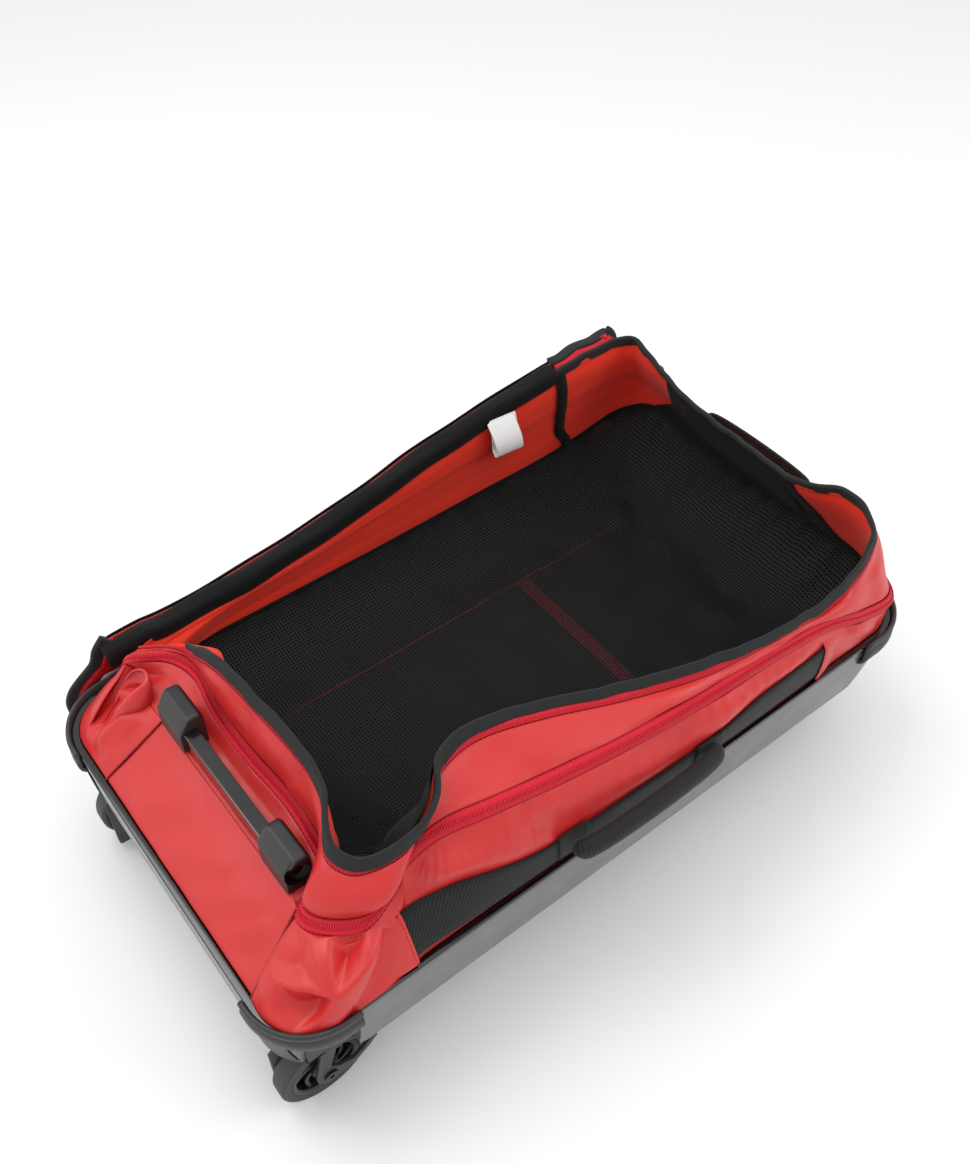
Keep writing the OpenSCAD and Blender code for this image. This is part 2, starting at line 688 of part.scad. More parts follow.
module floor_liner() {
    color([0.1, 0.1, 0.1]) translate([14, 0, liner_z]) linear_extrude(2)
        plate(tray_l - 110, tray_w - 124, 30);
}

module floor_piping() {
    color(crimson) translate([14, 0, liner_z + 2]) {
        linear_extrude(2.5) difference() {
            plate(tray_l - 120, tray_w - 134, 26);
            plate(tray_l - 125, tray_w - 139, 23.5);
        }
        translate([126, -(tray_w - 139) / 2, 0]) cube([14, tray_w - 139, 1.5]);
    }
}

module mesh_divider() {
    color([0.08, 0.08, 0.08]) translate([0, 0, tray_top - 3]) linear_extrude(1.5)
        plate(tray_l - 2 * tray_t - 6, tray_w - 2 * tray_t - 6, rim_r - 6);
}

module care_label() {
    color("white") translate([150, half_w - 12, 226]) rotate([8, 0, 0]) cube([30, 1.2, 42]);
}

module seam_tape() {
    color("black") translate([246, half_w - 10, 182]) cube([14, 1.4, 90]);
}

// ---- handles --------------------------------------------------------------------------------

handle_x0 = -84;
handle_x1 = 83;
handle_z = rim_z + 30;

// Side handle: a padded strap that arches out from the webbing.
module side_handle() {
    mid = (handle_x0 + handle_x1) / 2;
    reach = (handle_x1 - handle_x0) / 2;
    path = [for (k = [0 : 16]) let (a = 180 - k * 180 / 16)
        [mid + reach * cos(a), -half_w - 10 - 18 * pow(sin(a), 0.6), handle_z + 4 * sin(a)]];
    color([0.1, 0.1, 0.1]) sweep(path, 6.4, false, 12);
}

far_handle_z = 232;

module far_handle() {
    path = [for (k = [0 : 14]) let (a = 180 - k * 180 / 14)
        [half_l - 1 + 9 * pow(sin(a), 0.6), 20 + 72 * cos(a), far_handle_z]];
    color([0.1, 0.1, 0.1]) sweep(path, 3.4, false, 8);
}

module handle_anchors() {
    color([0.12, 0.12, 0.12]) {
        for (x = [handle_x0, handle_x1]) translate([x - 15, -half_w - 3, handle_z - 14]) cube([30, 1.7, 28]);
        for (y = [-52, 92]) translate([half_l - 6.4, y - 12, far_handle_z - 10]) cube([1.2, 24, 20]);
    }
}

// ---- lid ------------------------------------------------------------------------------------

lid_y = half_w + 8.5;
panel_t = 5;
lining_t = 3;
lid_low = hinge_z - 5 - lid_drop;
fold_y = lid_y + panel_t + lining_t + 0.5;
fold_z = lid_low + 2;

// Outline of the hanging part of the lid, in X and Z.
module lid_outline() {
    polygon([[-322, lid_low + 20], [-302, lid_low], [318, lid_low], [336, lid_low + 20], [340, 292],
        [330, hinge_z - 8], [240, hinge_z - 16], [0, 262], [-220, 228], [-310, 222], [-336, 190], [-336, 110]]);
}

module lid_slab(y0, t) { translate([0, y0 + t, 0]) rotate([90, 0, 0]) linear_extrude(t) children(); }

module lid_panel() { color(red) lid_slab(lid_y, panel_t) lid_outline(); }
module lid_lining() {
    color(charcoal) lid_slab(lid_y + panel_t, lining_t) offset(delta = -6) lid_outline();
}

module lid_binding() {
    color(charcoal) lid_slab(lid_y + panel_t, 2.5) difference() {
        lid_outline();
        offset(delta = -5.8) lid_outline();
    }
}

module front_outline(inset) {
    x0 = -318 + inset;
    x1 = 334 - inset;
    z0 = fold_z + 4;
    z1 = fold_z + front_drop - inset;
    polygon([[x0, z0], [x1, z0], [x1, z1 - 40], [x1 - 40, z1], [x0 + 40, z1], [x0, z1 - 40]]);
}

module lid_front_lining() { color(charcoal) lid_slab(fold_y + 0.5, lining_t) front_outline(6); }
module lid_front_panel() { color(red) lid_slab(fold_y + 0.5 + lining_t, panel_t) front_outline(0); }

// ---- zip pullers ----------------------------------------------------------------------------

module puller(l) {
    difference() {
        translate([-5, -1, -l]) cube([10, 2, l]);
        translate([0, 2, -l + 5]) rotate([90, 0, 0]) cylinder(r = 2.2, h = 4, $fn = 48);
    }
}

module main_zip_puller() {
    color("black") translate([346.5, 150, 284]) rotate([0, -25, 0]) rotate([0, 0, 90]) puller(30);
}

module expander_zip_puller() {
    color("black") translate([half_l + 2, -110, 222]) rotate([0, 0, 90]) puller(26);
}

shell_tray();
rim_trim();
corner_guard_right();
corner_guard_left();
wheel_housing_right();
wheel_housing_left();
wheel_cover_right();
wheel_cover_left();
axle_right();
axle_left();
axle_screws();
hub_right();
hub_left();
tyre_right();
tyre_left();
bearings_right();
bearings_left();
floor_feet();
foot_screws();
bar_block_right();
bar_block_left();
grab_bar();
bar_screws();
bar_backing_plate();
outer_tube_right();
outer_tube_left();
tube_bracket();
trolley_bezel();
trolley_screws();
mid_tube_right();
mid_tube_left();
inner_tube_right();
inner_tube_left();
trolley_grip();
grip_button();
button_spring();
lower_gusset();
end_panel();
end_flap();
expander_zip();
upper_band();
main_zip();
rim_binding();
side_webbing();
fabric_patches();
floor_liner();
floor_piping();
mesh_divider();
care_label();
seam_tape();
side_handle();
handle_anchors();
far_handle();
lid_panel();
lid_lining();
lid_binding();
lid_front_panel();
lid_front_lining();
main_zip_puller();
expander_zip_puller();
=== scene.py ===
"""Looks of the rolling duffel bag: coated cloth walls, zips, bindings, mesh, webbing and moulded parts.

Lengths in the lists are millimetres in the frame of the CAD model and become metres in mm().
"""
import math

import bmesh
import bpy
import numpy as np
from mathutils import Matrix, Vector
from mathutils.geometry import delaunay_2d_cdt


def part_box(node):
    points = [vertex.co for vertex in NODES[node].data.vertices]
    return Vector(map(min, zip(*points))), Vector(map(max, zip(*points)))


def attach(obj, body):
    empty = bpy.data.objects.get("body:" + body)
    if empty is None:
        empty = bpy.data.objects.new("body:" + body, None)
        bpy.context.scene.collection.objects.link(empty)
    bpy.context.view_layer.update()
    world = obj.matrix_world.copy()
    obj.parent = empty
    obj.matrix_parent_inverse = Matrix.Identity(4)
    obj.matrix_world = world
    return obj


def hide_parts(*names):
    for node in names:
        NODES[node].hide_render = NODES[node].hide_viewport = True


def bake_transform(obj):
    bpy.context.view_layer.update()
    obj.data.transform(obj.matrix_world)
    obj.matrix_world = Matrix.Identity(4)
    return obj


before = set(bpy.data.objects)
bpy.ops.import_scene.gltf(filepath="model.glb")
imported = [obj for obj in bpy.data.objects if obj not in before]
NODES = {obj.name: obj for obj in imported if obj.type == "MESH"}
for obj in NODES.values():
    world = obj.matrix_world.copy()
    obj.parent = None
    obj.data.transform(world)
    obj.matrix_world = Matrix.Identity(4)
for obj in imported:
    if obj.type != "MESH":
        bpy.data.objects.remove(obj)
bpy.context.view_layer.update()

# ---- the walls' driving rings ---------------------------------------------------------------------

TRAY_L, TRAY_W = 0.747, 0.420
RIM_R = 0.049
RIM_Z = 0.1766
ZIP_W = 0.015
CLOTH_T = 0.0016
PER = 8

# Stations run from the hinge-side shoulder of the wheel end, along the wheel end, the near side and the
# far end, and back along the hinge side.
BASE_XY = [
    (-366, 165), (-368, 140), (-368, 108), (-368, 65), (-368, 15), (-368, -45), (-368, -85),
    (-368, -118), (-368, -150), (-356, -184), (-322, -205), (-285, -205), (-250, -205), (-210, -205),
    (-155, -205), (-85, -205), (0, -205), (80, -205), (160, -205), (235, -205), (300, -205),
    (350, -188), (368, -145), (368, -80), (368, 0), (368, 80), (368, 150), (345, 192),
    (240, 205), (120, 205), (0, 205), (-110, 205), (-220, 205), (-330, 200)]
ZIP_XYZ = [
    (-297, 175, 236), (-268, 151, 240), (-257, 117, 242), (-264, 70, 242), (-266, 15, 242),
    (-262, -45, 240), (-264, -85, 238), (-272, -117, 236), (-306, -133, 228), (-301, -157, 230),
    (-272, -179, 236), (-238, -170, 244), (-220, -162, 256), (-190, -163, 266), (-145, -174, 270),
    (-80, -183, 265), (0, -190, 258), (80, -195, 255), (160, -198, 254), (230, -201, 247),
    (292, -203, 222), (345, -196, 208), (366, -150, 210), (366, -80, 218), (366, 0, 222),
    (366, 80, 226), (366, 150, 232), (348, 200, 238), (240, 207, 232), (120, 207, 224),
    (0, 207, 214), (-110, 207, 204), (-220, 206, 197), (-288, 198, 200)]
MOUTH_XYZ = [
    (-276, 186, 232), (-262, 165, 243), (-256, 138, 264), (-251, 78, 296), (-246, 8, 300),
    (-244, -50, 300), (-248, -88, 298), (-262, -112, 292), (-269, -136, 287), (-258, -157, 284),
    (-230, -164, 285), (-205, -162, 288), (-182, -150, 293), (-158, -124, 299), (-118, -115, 299),
    (-60, -128, 294), (10, -152, 287), (88, -173, 280), (165, -187, 275), (240, -188, 272),
    (297, -180, 284), (328, -158, 297), (338, -118, 299), (318, -75, 292), (326, 5, 283),
    (325, 90, 289), (336, 155, 297), (336, 200, 300), (240, 206, 294), (120, 206, 278),
    (0, 206, 253), (-110, 206, 232), (-220, 206, 222), (-262, 202, 222)]
# The station where the stiff end panel's near seam is
SEAM = 8

UP = np.array([0.0, 0.0, 1.0])


# ---- small maths ----------------------------------------------------------------------------------

def mm(points):
    return np.array(points, float) / 1000


def unit(v):
    return v / np.maximum(np.linalg.norm(v, axis=-1, keepdims=True), 1e-9)


def ease(t):
    t = np.clip(t, 0, 1)
    return t * t * (3 - 2 * t)


def mix(a, b, t):
    return a * (1 - t) + b * t


def curve(points, per, closed=True):
    """Smooth curve through points, with per samples from each to the next."""
    p = np.array(points, float)
    n = len(p)
    spans = n if closed else n - 1
    t = (np.arange(per) / per)[:, None]
    out = []
    for i in range(spans):
        if closed:
            a, b, c, d = p[i - 1], p[i], p[(i + 1) % n], p[(i + 2) % n]
        else:
            a, b, c, d = p[max(i - 1, 0)], p[i], p[i + 1], p[min(i + 2, n - 1)]
        out.append(0.5 * (2 * b + (c - a) * t + (2 * a - 5 * b + 4 * c - d) * t ** 2
                          + (3 * b - a - 3 * c + d) * t ** 3))
    if not closed:
        out.append(p[-1:])
    return np.concatenate(out)


def lengths(path):
    """Distance along a path to each of its points."""
    steps = np.linalg.norm(np.diff(path, axis=0), axis=1)
    return np.concatenate([[0], np.cumsum(steps)])


def walk(path, step, closed=False):
    """Points every step along a path, with the share of the path's index at each."""
    line = np.vstack([path, path[:1]]) if closed else path
    s = lengths(line)
    count = max(2, int(round(s[-1] / step)))
    at = np.linspace(0, s[-1], count, endpoint=not closed)
    index = np.interp(at, s, np.arange(len(line)))
    return np.stack([np.interp(at, s, line[:, k]) for k in range(3)], axis=1), index


def even(path, count):
    """The path with its points spread evenly."""
    s = lengths(path)
    at = np.linspace(0, s[-1], count)
    return np.column_stack([np.interp(at, s, path[:, k]) for k in range(path.shape[1])])


def sample(values, index, closed=False):
    """Values of an array at fractional indices."""
    v = np.concatenate([values, values[:1]]) if closed else values
    i = np.clip(np.floor(index).astype(int), 0, len(v) - 2)
    t = (index - i)[:, None]
    return v[i] * (1 - t) + v[i + 1] * t


def tangents(path, closed=False):
    if closed:
        return unit(np.roll(path, -1, 0) - np.roll(path, 1, 0))
    return unit(np.gradient(path, axis=0))


# ---- meshes ---------------------------------------------------------------------------------------

def make(name, verts, faces, mat=None, uv=None):
    """A mesh object from points, faces and, where uv is given, a UV pair in metres for each point."""
    mesh = bpy.data.meshes.new(name)
    mesh.from_pydata([tuple(map(float, v)) for v in verts], [], [tuple(map(int, f)) for f in faces])
    if uv is not None:
        layer = mesh.uv_layers.new(name="UVMap")
        corner = np.array([loop.vertex_index for loop in mesh.loops])
        layer.data.foreach_set("uv", np.asarray(uv, np.float32)[corner].ravel())
    mesh.polygons.foreach_set("use_smooth", [True] * len(mesh.polygons))
    obj = bpy.data.objects.new(name, mesh)
    bpy.context.scene.collection.objects.link(obj)
    if mat:
        mesh.materials.append(mat)
    return obj


def grid_faces(rows, cols):
    return [(i * cols + j, i * cols + j + 1, (i + 1) * cols + j + 1, (i + 1) * cols + j)
            for i in range(rows - 1) for j in range(cols - 1)]


def tube_faces(rings, sides, closed=False):
    """Quads between each ring of points and the next; a tube that isn't closed also has a cap at each end."""
    spans = rings if closed else rings - 1
    faces = [(i * sides + a, (i + 1) % rings * sides + a, (i + 1) % rings * sides + (a + 1) % sides,
              i * sides + (a + 1) % sides) for i in range(spans) for a in range(sides)]
    if not closed:
        faces += [tuple(range(sides)), tuple(reversed(range((rings - 1) * sides, rings * sides)))]
    return faces


def grid_uv(grid):
    """UV in metres: along the middle row, and up each column."""
    rows, cols, _ = grid.shape
    u = np.tile(lengths(grid[rows // 2]), (rows, 1))
    rise = np.linalg.norm(np.diff(grid, axis=0), axis=2).mean(1)
    v = np.tile(np.concatenate([[0], np.cumsum(rise)])[:, None], (1, cols))
    return np.stack([u, v], 2).reshape(-1, 2)


def subdivided(obj, levels):
    sub = obj.modifiers.new("Subdivision", "SUBSURF")
    sub.levels = sub.render_levels = levels
    return obj


def sheet(name, grid, mat, thick=CLOTH_T, closed=False, side=-1.0, subdivide=0):
    """A sheet of cloth from a grid of points (rows, columns, 3); side -1 puts the thickness behind it."""
    rows, cols, _ = grid.shape
    if closed:
        grid = np.concatenate([grid, grid[:, :1]], axis=1)
        cols += 1
    obj = make(name, grid.reshape(-1, 3), grid_faces(rows, cols), mat, uv=grid_uv(grid))
    if closed:
        weld = obj.modifiers.new("Weld", "WELD")
        weld.merge_threshold = 1e-5
    solid = obj.modifiers.new("Solidify", "SOLIDIFY")
    solid.thickness = thick
    solid.offset = side
    return subdivided(obj, subdivide) if subdivide else obj


def grid_normals(grid, closed=False):
    if closed:
        du = np.roll(grid, -1, 1) - np.roll(grid, 1, 1)
    else:
        du = np.gradient(grid, axis=1)
    return unit(np.cross(du, np.gradient(grid, axis=0)))


def sweep(name, path, profile, ups, mat, closed=False, scale=None):
    """Carries a closed profile of (side, up) offsets along a path; ups is one direction, or one per point."""
    t = tangents(path, closed)
    side = unit(np.cross(t, ups))
    up = np.cross(side, t)
    prof = np.array(profile, float)
    k = len(prof)
    size = np.ones(len(path)) if scale is None else np.asarray(scale, float)
    rings = (path[:, None] + side[:, None] * (prof[None, :, :1] * size[:, None, None])
             + up[:, None] * (prof[None, :, 1:] * size[:, None, None]))
    along = lengths(path)
    round_it = lengths(np.vstack([prof, prof[:1]]))[:k]
    uv = np.stack([np.repeat(along, k), np.tile(round_it, len(path))], 1)
    return make(name, rings.reshape(-1, 3), tube_faces(len(path), k, closed), mat, uv=uv)


def rounded(w, h, r, corner=4):
    """Rounded rectangle as a closed list of points."""
    out = []
    for cx, cy, a0 in ((1, 1, 0), (-1, 1, 90), (-1, -1, 180), (1, -1, 270)):
        for k in range(corner + 1):
            a = math.radians(a0 + 90 * k / corner)
            out.append((cx * (w / 2 - r) + r * math.cos(a), cy * (h / 2 - r) + r * math.sin(a)))
    return out


def softened(corners, reach, steps=4):
    """A polygon with every corner rounded, starting reach away from it along both sides."""
    corners = np.array(corners, float)
    t = np.linspace(0, 1, steps + 1)[:, None]
    out = []
    for before, at, after in zip(np.roll(corners, 1, 0), corners, np.roll(corners, -1, 0)):
        start, end = at + unit(before - at) * reach, at + unit(after - at) * reach
        out.append((1 - t) ** 2 * start + 2 * t * (1 - t) * at + t ** 2 * end)
    return np.concatenate(out)


def ellipse(w, h, sides=12):
    return [(w / 2 * math.cos(2 * math.pi * k / sides), h / 2 * math.sin(2 * math.pi * k / sides))
            for k in range(sides)]


def pill(length, width, height):
    """A small rounded bar along X, as points and faces: a stitch or a zip tooth."""
    sides = 6
    xs = ((-0.5, 0.35), (-0.36, 1.0), (0.36, 1.0), (0.5, 0.35))
    verts = [(x * length, s * width / 2 * math.cos(2 * math.pi * k / sides),
              s * height / 2 * math.sin(2 * math.pi * k / sides)) for x, s in xs for k in range(sides)]
    walls = tube_faces(len(xs), sides)[:-2]
    caps = [tuple(reversed(range(sides))), tuple(range(3 * sides, 4 * sides))]
    return np.array(verts), walls + caps


def stamp(name, shape, origin, x, y, z, mat):
    """One mesh with a copy of shape at each place, given by its origin and axes."""
    verts, faces = shape
    n, k = len(origin), len(verts)
    pts = (origin[:, None] + x[:, None] * verts[None, :, :1] + y[:, None] * verts[None, :, 1:2]
           + z[:, None] * verts[None, :, 2:])
    every = [tuple(i * k + v for v in f) for i in range(n) for f in faces]
    return make(name, pts.reshape(-1, 3), every, mat)


def stitches(name, path, normals, mat, closed=False):
    """A row of stitches that lies on a path; normals is one direction, or one for each point."""
    pitch, length, width = 0.0042, 0.0029, 0.0007
    at, index = walk(path, pitch, closed)
    n = unit(sample(np.broadcast_to(normals, path.shape), index, closed))
    x = tangents(at, closed)
    y = unit(np.cross(n, x))
    return stamp(name, pill(length, width, width * 0.8), at + n * width * 0.25, x, y, np.cross(x, y), mat)


def join(name, parts):
    """Parts become one object, with the first part's material slots and the others' added."""
    for o in bpy.context.selected_objects:
        o.select_set(False)
    for o in parts:
        o.select_set(True)
    bpy.context.view_layer.objects.active = parts[0]
    bpy.ops.object.join()
    parts[0].name = name
    return parts[0]


def bevel(obj, width, segments=2, angle=30, weld=True):
    """Rounds an object's edges; a CAD mesh is welded first, because its faces don't share points."""
    if weld:
        w = obj.modifiers.new("Weld", "WELD")
        w.merge_threshold = 2e-5
    b = obj.modifiers.new("Bevel", "BEVEL")
    b.width = width
    b.segments = segments
    b.limit_method = "ANGLE"
    b.angle_limit = math.radians(angle)
    obj.modifiers.new("Normals", "WEIGHTED_NORMAL").weight = 80
    return obj


def dressed(obj, *mats):
    """Gives an object these finishes, and no others."""
    obj.data.materials.clear()
    for mat in mats:
        obj.data.materials.append(M[mat])
    return obj


def settled(obj, pinned, frames, cap, pressure=0.0, gravity=1.0):
    """Lets a cloth settle in a short simulation and keeps the result; no point moves further than the cap."""
    start = np.array([v.co for v in obj.data.vertices])
    group = obj.vertex_groups.new(name="pinned")
    group.add([int(k) for k in pinned], 1.0, "REPLACE")
    cloth = obj.modifiers.new("Cloth", "CLOTH")
    cloth.settings.vertex_group_mass = "pinned"
    cloth.settings.quality = 5
    cloth.settings.mass = 0.2
    cloth.settings.bending_stiffness = 0.5
    cloth.settings.use_pressure = pressure > 0
    cloth.settings.uniform_pressure_force = pressure
    cloth.settings.effector_weights.gravity = gravity
    cloth.point_cache.frame_start, cloth.point_cache.frame_end = 1, frames
    for number in range(1, frames + 1):
        bpy.context.scene.frame_set(number)
    shown = obj.evaluated_get(bpy.context.evaluated_depsgraph_get())
    moved = np.array([v.co for v in shown.to_mesh().vertices]) - start
    shown.to_mesh_clear()
    obj.modifiers.remove(cloth)
    obj.vertex_groups.clear()
    moved *= np.minimum(1, cap / np.maximum(np.linalg.norm(moved, axis=1), 1e-9))[:, None]
    for vertex, co in zip(obj.data.vertices, start + moved):
        vertex.co = co
    bpy.context.scene.frame_set(1)
    return obj


def place(obj, body, slot, *nodes):
    """Puts a piece on its body and hides the CAD nodes that it stands for; slot is not used."""
    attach(obj, body)
    if nodes:
        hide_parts(*nodes)
    return obj


# ---- materials ------------------------------------------------------------------------------------

def srgb(r, g, b):
    shares = [c / 255 for c in (r, g, b)]
    return [c / 12.92 if c <= 0.04045 else ((c + 0.055) / 1.055) ** 2.4 for c in shares]


class Finish:
    """A Principled material that is built up in steps: colour variation, roughness variation and bumps."""

    def __init__(self, name, colour, rough, metal=0.0, coat=0.0, coat_rough=0.15, sheen=0.0, spec=0.5,
                 uv=True):
        self.mat = bpy.data.materials.new(name)
        self.mat.use_nodes = True
        self.tree = self.mat.node_tree
        self.bsdf = self.tree.nodes["Principled BSDF"]
        self.colour = colour
        for key, value in (("Base Color", (*colour, 1)), ("Roughness", rough), ("Metallic", metal),
                           ("Coat Weight", coat), ("Coat Roughness", coat_rough), ("Sheen Weight", sheen),
                           ("Specular IOR Level", spec)):
            self.bsdf.inputs[key].default_value = value
        self.coords = self.add("ShaderNodeTexCoord").outputs["UV" if uv else "Object"]
        self.normal = None

    def add(self, kind, **values):
        n = self.tree.nodes.new(kind)
        for key, value in values.items():
            setattr(n, key, value)
        return n

    def link(self, a, b):
        self.tree.links.new(a, b)

    def noise(self, scale, detail, stretch=None):
        n = self.add("ShaderNodeTexNoise")
        for key, value in (("Scale", scale), ("Detail", detail), ("Roughness", 0.55)):
            n.inputs[key].default_value = value
        self.link(self.mapped(stretch=stretch) if stretch else self.coords, n.inputs["Vector"])
        return n.outputs["Fac"]

    def mapped(self, turn=0.0, stretch=(1, 1, 1)):
        m = self.add("ShaderNodeMapping")
        m.inputs["Rotation"].default_value = (0, 0, math.radians(turn))
        m.inputs["Scale"].default_value = stretch
        self.link(self.coords, m.inputs["Vector"])
        return m.outputs["Vector"]

    def bands(self, pitch, turn=0.0):
        """Parallel ribs, one every pitch metres, turned from the X direction."""
        w = self.add("ShaderNodeTexWave", wave_type="BANDS", bands_direction="X", wave_profile="SIN")
        w.inputs["Scale"].default_value = math.pi / (10 * pitch)
        self.link(self.mapped(turn), w.inputs["Vector"])
        return w.outputs["Fac"]

    def math(self, op, a, b):
        m = self.add("ShaderNodeMath", operation=op)
        for socket, value in zip(m.inputs, (a, b)):
            if isinstance(value, (int, float)):
                socket.default_value = value
            else:
                self.link(value, socket)
        return m.outputs[0]

    def remap(self, value, low, high, a=0.0, b=1.0):
        m = self.add("ShaderNodeMapRange")
        for socket, v in zip(list(m.inputs)[1:5], (low, high, a, b)):
            socket.default_value = v
        self.link(value, m.inputs[0])
        return m.outputs[0]

    def tint(self, value, other, amount=1.0):
        """Mixes another colour in where value is high."""
        m = self.add("ShaderNodeMix", data_type="RGBA")
        self.link(self.remap(value, 0.0, 1.0, 0.0, amount), m.inputs["Factor"])
        last = self.bsdf.inputs["Base Color"]
        if last.is_linked:
            self.link(last.links[0].from_socket, m.inputs[6])
        else:
            m.inputs[6].default_value = (*self.colour, 1)
        m.inputs[7].default_value = (*other, 1)
        self.link(m.outputs[2], last)
        return self

    def worn(self, value, low, high):
        """Roughness that runs from low to high with value."""
        self.link(self.remap(value, 0.3, 0.7, low, high), self.bsdf.inputs["Roughness"])
        return self

    def bump(self, height, strength, distance):
        b = self.add("ShaderNodeBump")
        b.inputs["Strength"].default_value = strength
        b.inputs["Distance"].default_value = distance
        self.link(height, b.inputs["Height"])
        if self.normal:
            self.link(self.normal, b.inputs["Normal"])
        self.normal = b.outputs["Normal"]
        self.link(self.normal, self.bsdf.inputs["Normal"])
        return self


def coated(name, colour, shade, rough):
    """Coated base cloth: a smooth film with the weave just showing through."""
    f = Finish(name, colour, rough, coat=0.12, coat_rough=0.38, spec=0.5)
    f.tint(f.noise(6, 4), shade, 0.75)
    f.worn(f.noise(26, 5), rough - 0.05, rough + 0.07)
    weave = f.math("MULTIPLY", f.bands(0.0011), f.bands(0.0011, 90))
    f.bump(f.noise(8, 4), 0.30, 0.006)
    f.bump(f.noise(42, 4), 0.16, 0.0012)
    return f.bump(weave, 0.10, 0.00015).mat


def woven(name, colour, light, pitch=0.0009, rough=0.8, strength=0.5, fuzz=0.2):
    """Plain weave with a little fuzz."""
    f = Finish(name, colour, rough, sheen=fuzz, spec=0.2)
    weave = f.math("MULTIPLY", f.bands(pitch), f.bands(pitch, 90))
    f.tint(weave, light, 0.35)
    f.bump(weave, strength, 0.0003)
    return f.bump(f.noise(300, 3), 0.15, 0.0003).mat


def twill(name, colour, light, pitch=0.0016, rough=0.75, turn=45, strength=0.7, ribs=None):
    """Diagonal ribs, as on webbing and zip tape; ribs adds cross ribs at their own pitch."""
    f = Finish(name, colour, rough, sheen=0.06, spec=0.25)
    lines = f.bands(pitch, turn)
    if ribs:
        lines = f.math("MULTIPLY", lines, f.remap(f.bands(ribs, 90), 0, 1, 0.5, 1.0))
    f.tint(lines, light, 0.5)
    f.tint(f.noise(40, 4), [c * 0.7 for c in colour], 0.4)
    f.bump(lines, strength, 0.0004)
    return f.bump(f.noise(600, 2), 0.2, 0.0002).mat


def moulded(name, colour, rough, grain=0.12, scale=1500, coat=0.0, coat_rough=0.2, wear=None):
    """Moulded plastic with a fine spark-eroded grain."""
    f = Finish(name, colour, rough, coat=coat, coat_rough=coat_rough, uv=False)
    f.worn(f.noise(24, 5), rough - 0.06, rough + 0.06)
    if wear:
        f.tint(f.remap(f.noise(60, 6), 0.55, 0.8), wear, 0.35)
    return f.bump(f.noise(scale, 2), grain, 0.0003).mat


def metal(name, colour, rough, brushed=(1, 40, 40)):
    f = Finish(name, colour, rough, metal=1.0, uv=False)
    lines = f.noise(300, 3, stretch=brushed)
    f.worn(lines, rough - 0.08, rough + 0.1)
    return f.bump(lines, 0.08, 0.0002).mat


def net(name, colour, pitch, thread):
    """Open mesh: threads both ways, clear between them."""
    f = Finish(name, colour, 0.66, spec=0.2)
    cut = math.cos(math.pi * thread / pitch) * 0.5 + 0.5
    lines = f.math("MAXIMUM", f.bands(pitch), f.bands(pitch, 90))
    solid = f.remap(lines, cut - 0.06, cut + 0.06)
    f.link(solid, f.bsdf.inputs["Alpha"])
    f.tint(f.noise(18, 3), [c * 2.2 for c in colour], 0.5)
    return f.bump(lines, 0.6, 0.0005).mat


RED = srgb(205, 40, 39)
RED_SHADE = srgb(194, 30, 30)
CRIMSON = srgb(208, 20, 42)
M = {
    "red": coated("coated_red", RED, RED_SHADE, 0.44),
    "red_stiff": coated("coated_red_stiff", srgb(207, 47, 46), RED_SHADE, 0.47),
    "inner_red": woven("inner_red", srgb(226, 50, 30), srgb(236, 66, 44), 0.0008, 0.7, 0.25, 0.1),
    "tape": twill("zip_tape", CRIMSON, srgb(228, 52, 72), 0.0018, 0.7, 60, 0.6),
    "teeth": moulded("zip_teeth", srgb(206, 26, 48), 0.42, 0.05),
    "dark_thread": woven("dark_thread", srgb(150, 16, 30), srgb(170, 30, 40), 0.0004),
    "red_thread": woven("red_thread", srgb(196, 34, 44), srgb(215, 60, 60), 0.0004),
    "black_thread": woven("black_thread", srgb(28, 28, 28), srgb(52, 52, 52), 0.0004),
    "binding": twill("edge_binding", srgb(31, 33, 32), srgb(50, 52, 51), 0.0011, 0.74, 90, 0.55),
    "black_cloth": woven("black_cloth", srgb(13, 13, 13), srgb(26, 27, 27), 0.0009, 0.82, 0.5, 0.04),
    "webbing": twill("webbing", srgb(15, 16, 15), srgb(52, 54, 52), 0.0030, 0.66, 38, 1.0, 0.0013),
    "handle": twill("handle_sleeve", srgb(24, 24, 23), srgb(50, 50, 49), 0.0026, 0.7, 0, 1.0),
    "mesh": net("open_mesh", srgb(17, 17, 17), 0.0033, 0.0017),
    "shell": moulded("shell_grey", srgb(101, 101, 104), 0.36, 0.10, 2200, coat=0.1, coat_rough=0.35),
    "plastic": moulded("black_plastic", srgb(46, 46, 45), 0.48, 0.16, 1700, wear=srgb(60, 60, 59)),
    "block": moulded("block_plastic", srgb(46, 45, 43), 0.44, 0.14, 1700, wear=srgb(62, 61, 58)),
    # Near-black plastic for the grab bar blocks' upward and far-facing faces and for their screw recesses:
    # painted shade
    "block_painted_shade": moulded("block_painted_shade_plastic", srgb(14, 12, 12), 0.46, 0.08, 1500),
    "gloss": moulded("gloss_black", srgb(12, 12, 12), 0.18, 0.03, 900, coat=0.5, coat_rough=0.08),
    "tyre": moulded("tyre_rubber", srgb(56, 56, 56), 0.62, 0.3, 1100),
    "hub": moulded("hub_plastic", srgb(34, 34, 34), 0.38, 0.1, 1500),
    "rubber": moulded("foot_rubber", srgb(36, 36, 36), 0.75, 0.3, 900),
    "steel": metal("steel", srgb(170, 170, 172), 0.3),
    "dark_steel": metal("blackened_steel", srgb(70, 70, 70), 0.35),
    "anodised": metal("anodised", srgb(120, 121, 124), 0.32, (1, 60, 60)),
    "label": woven("label_satin", srgb(232, 232, 230), srgb(250, 250, 250), 0.0006, 0.6, 0.2),
    "grey_coat": coated("grey_backing", srgb(150, 146, 142), srgb(170, 166, 162), 0.5),
}

# ---- rings of the walls ---------------------------------------------------------------------------

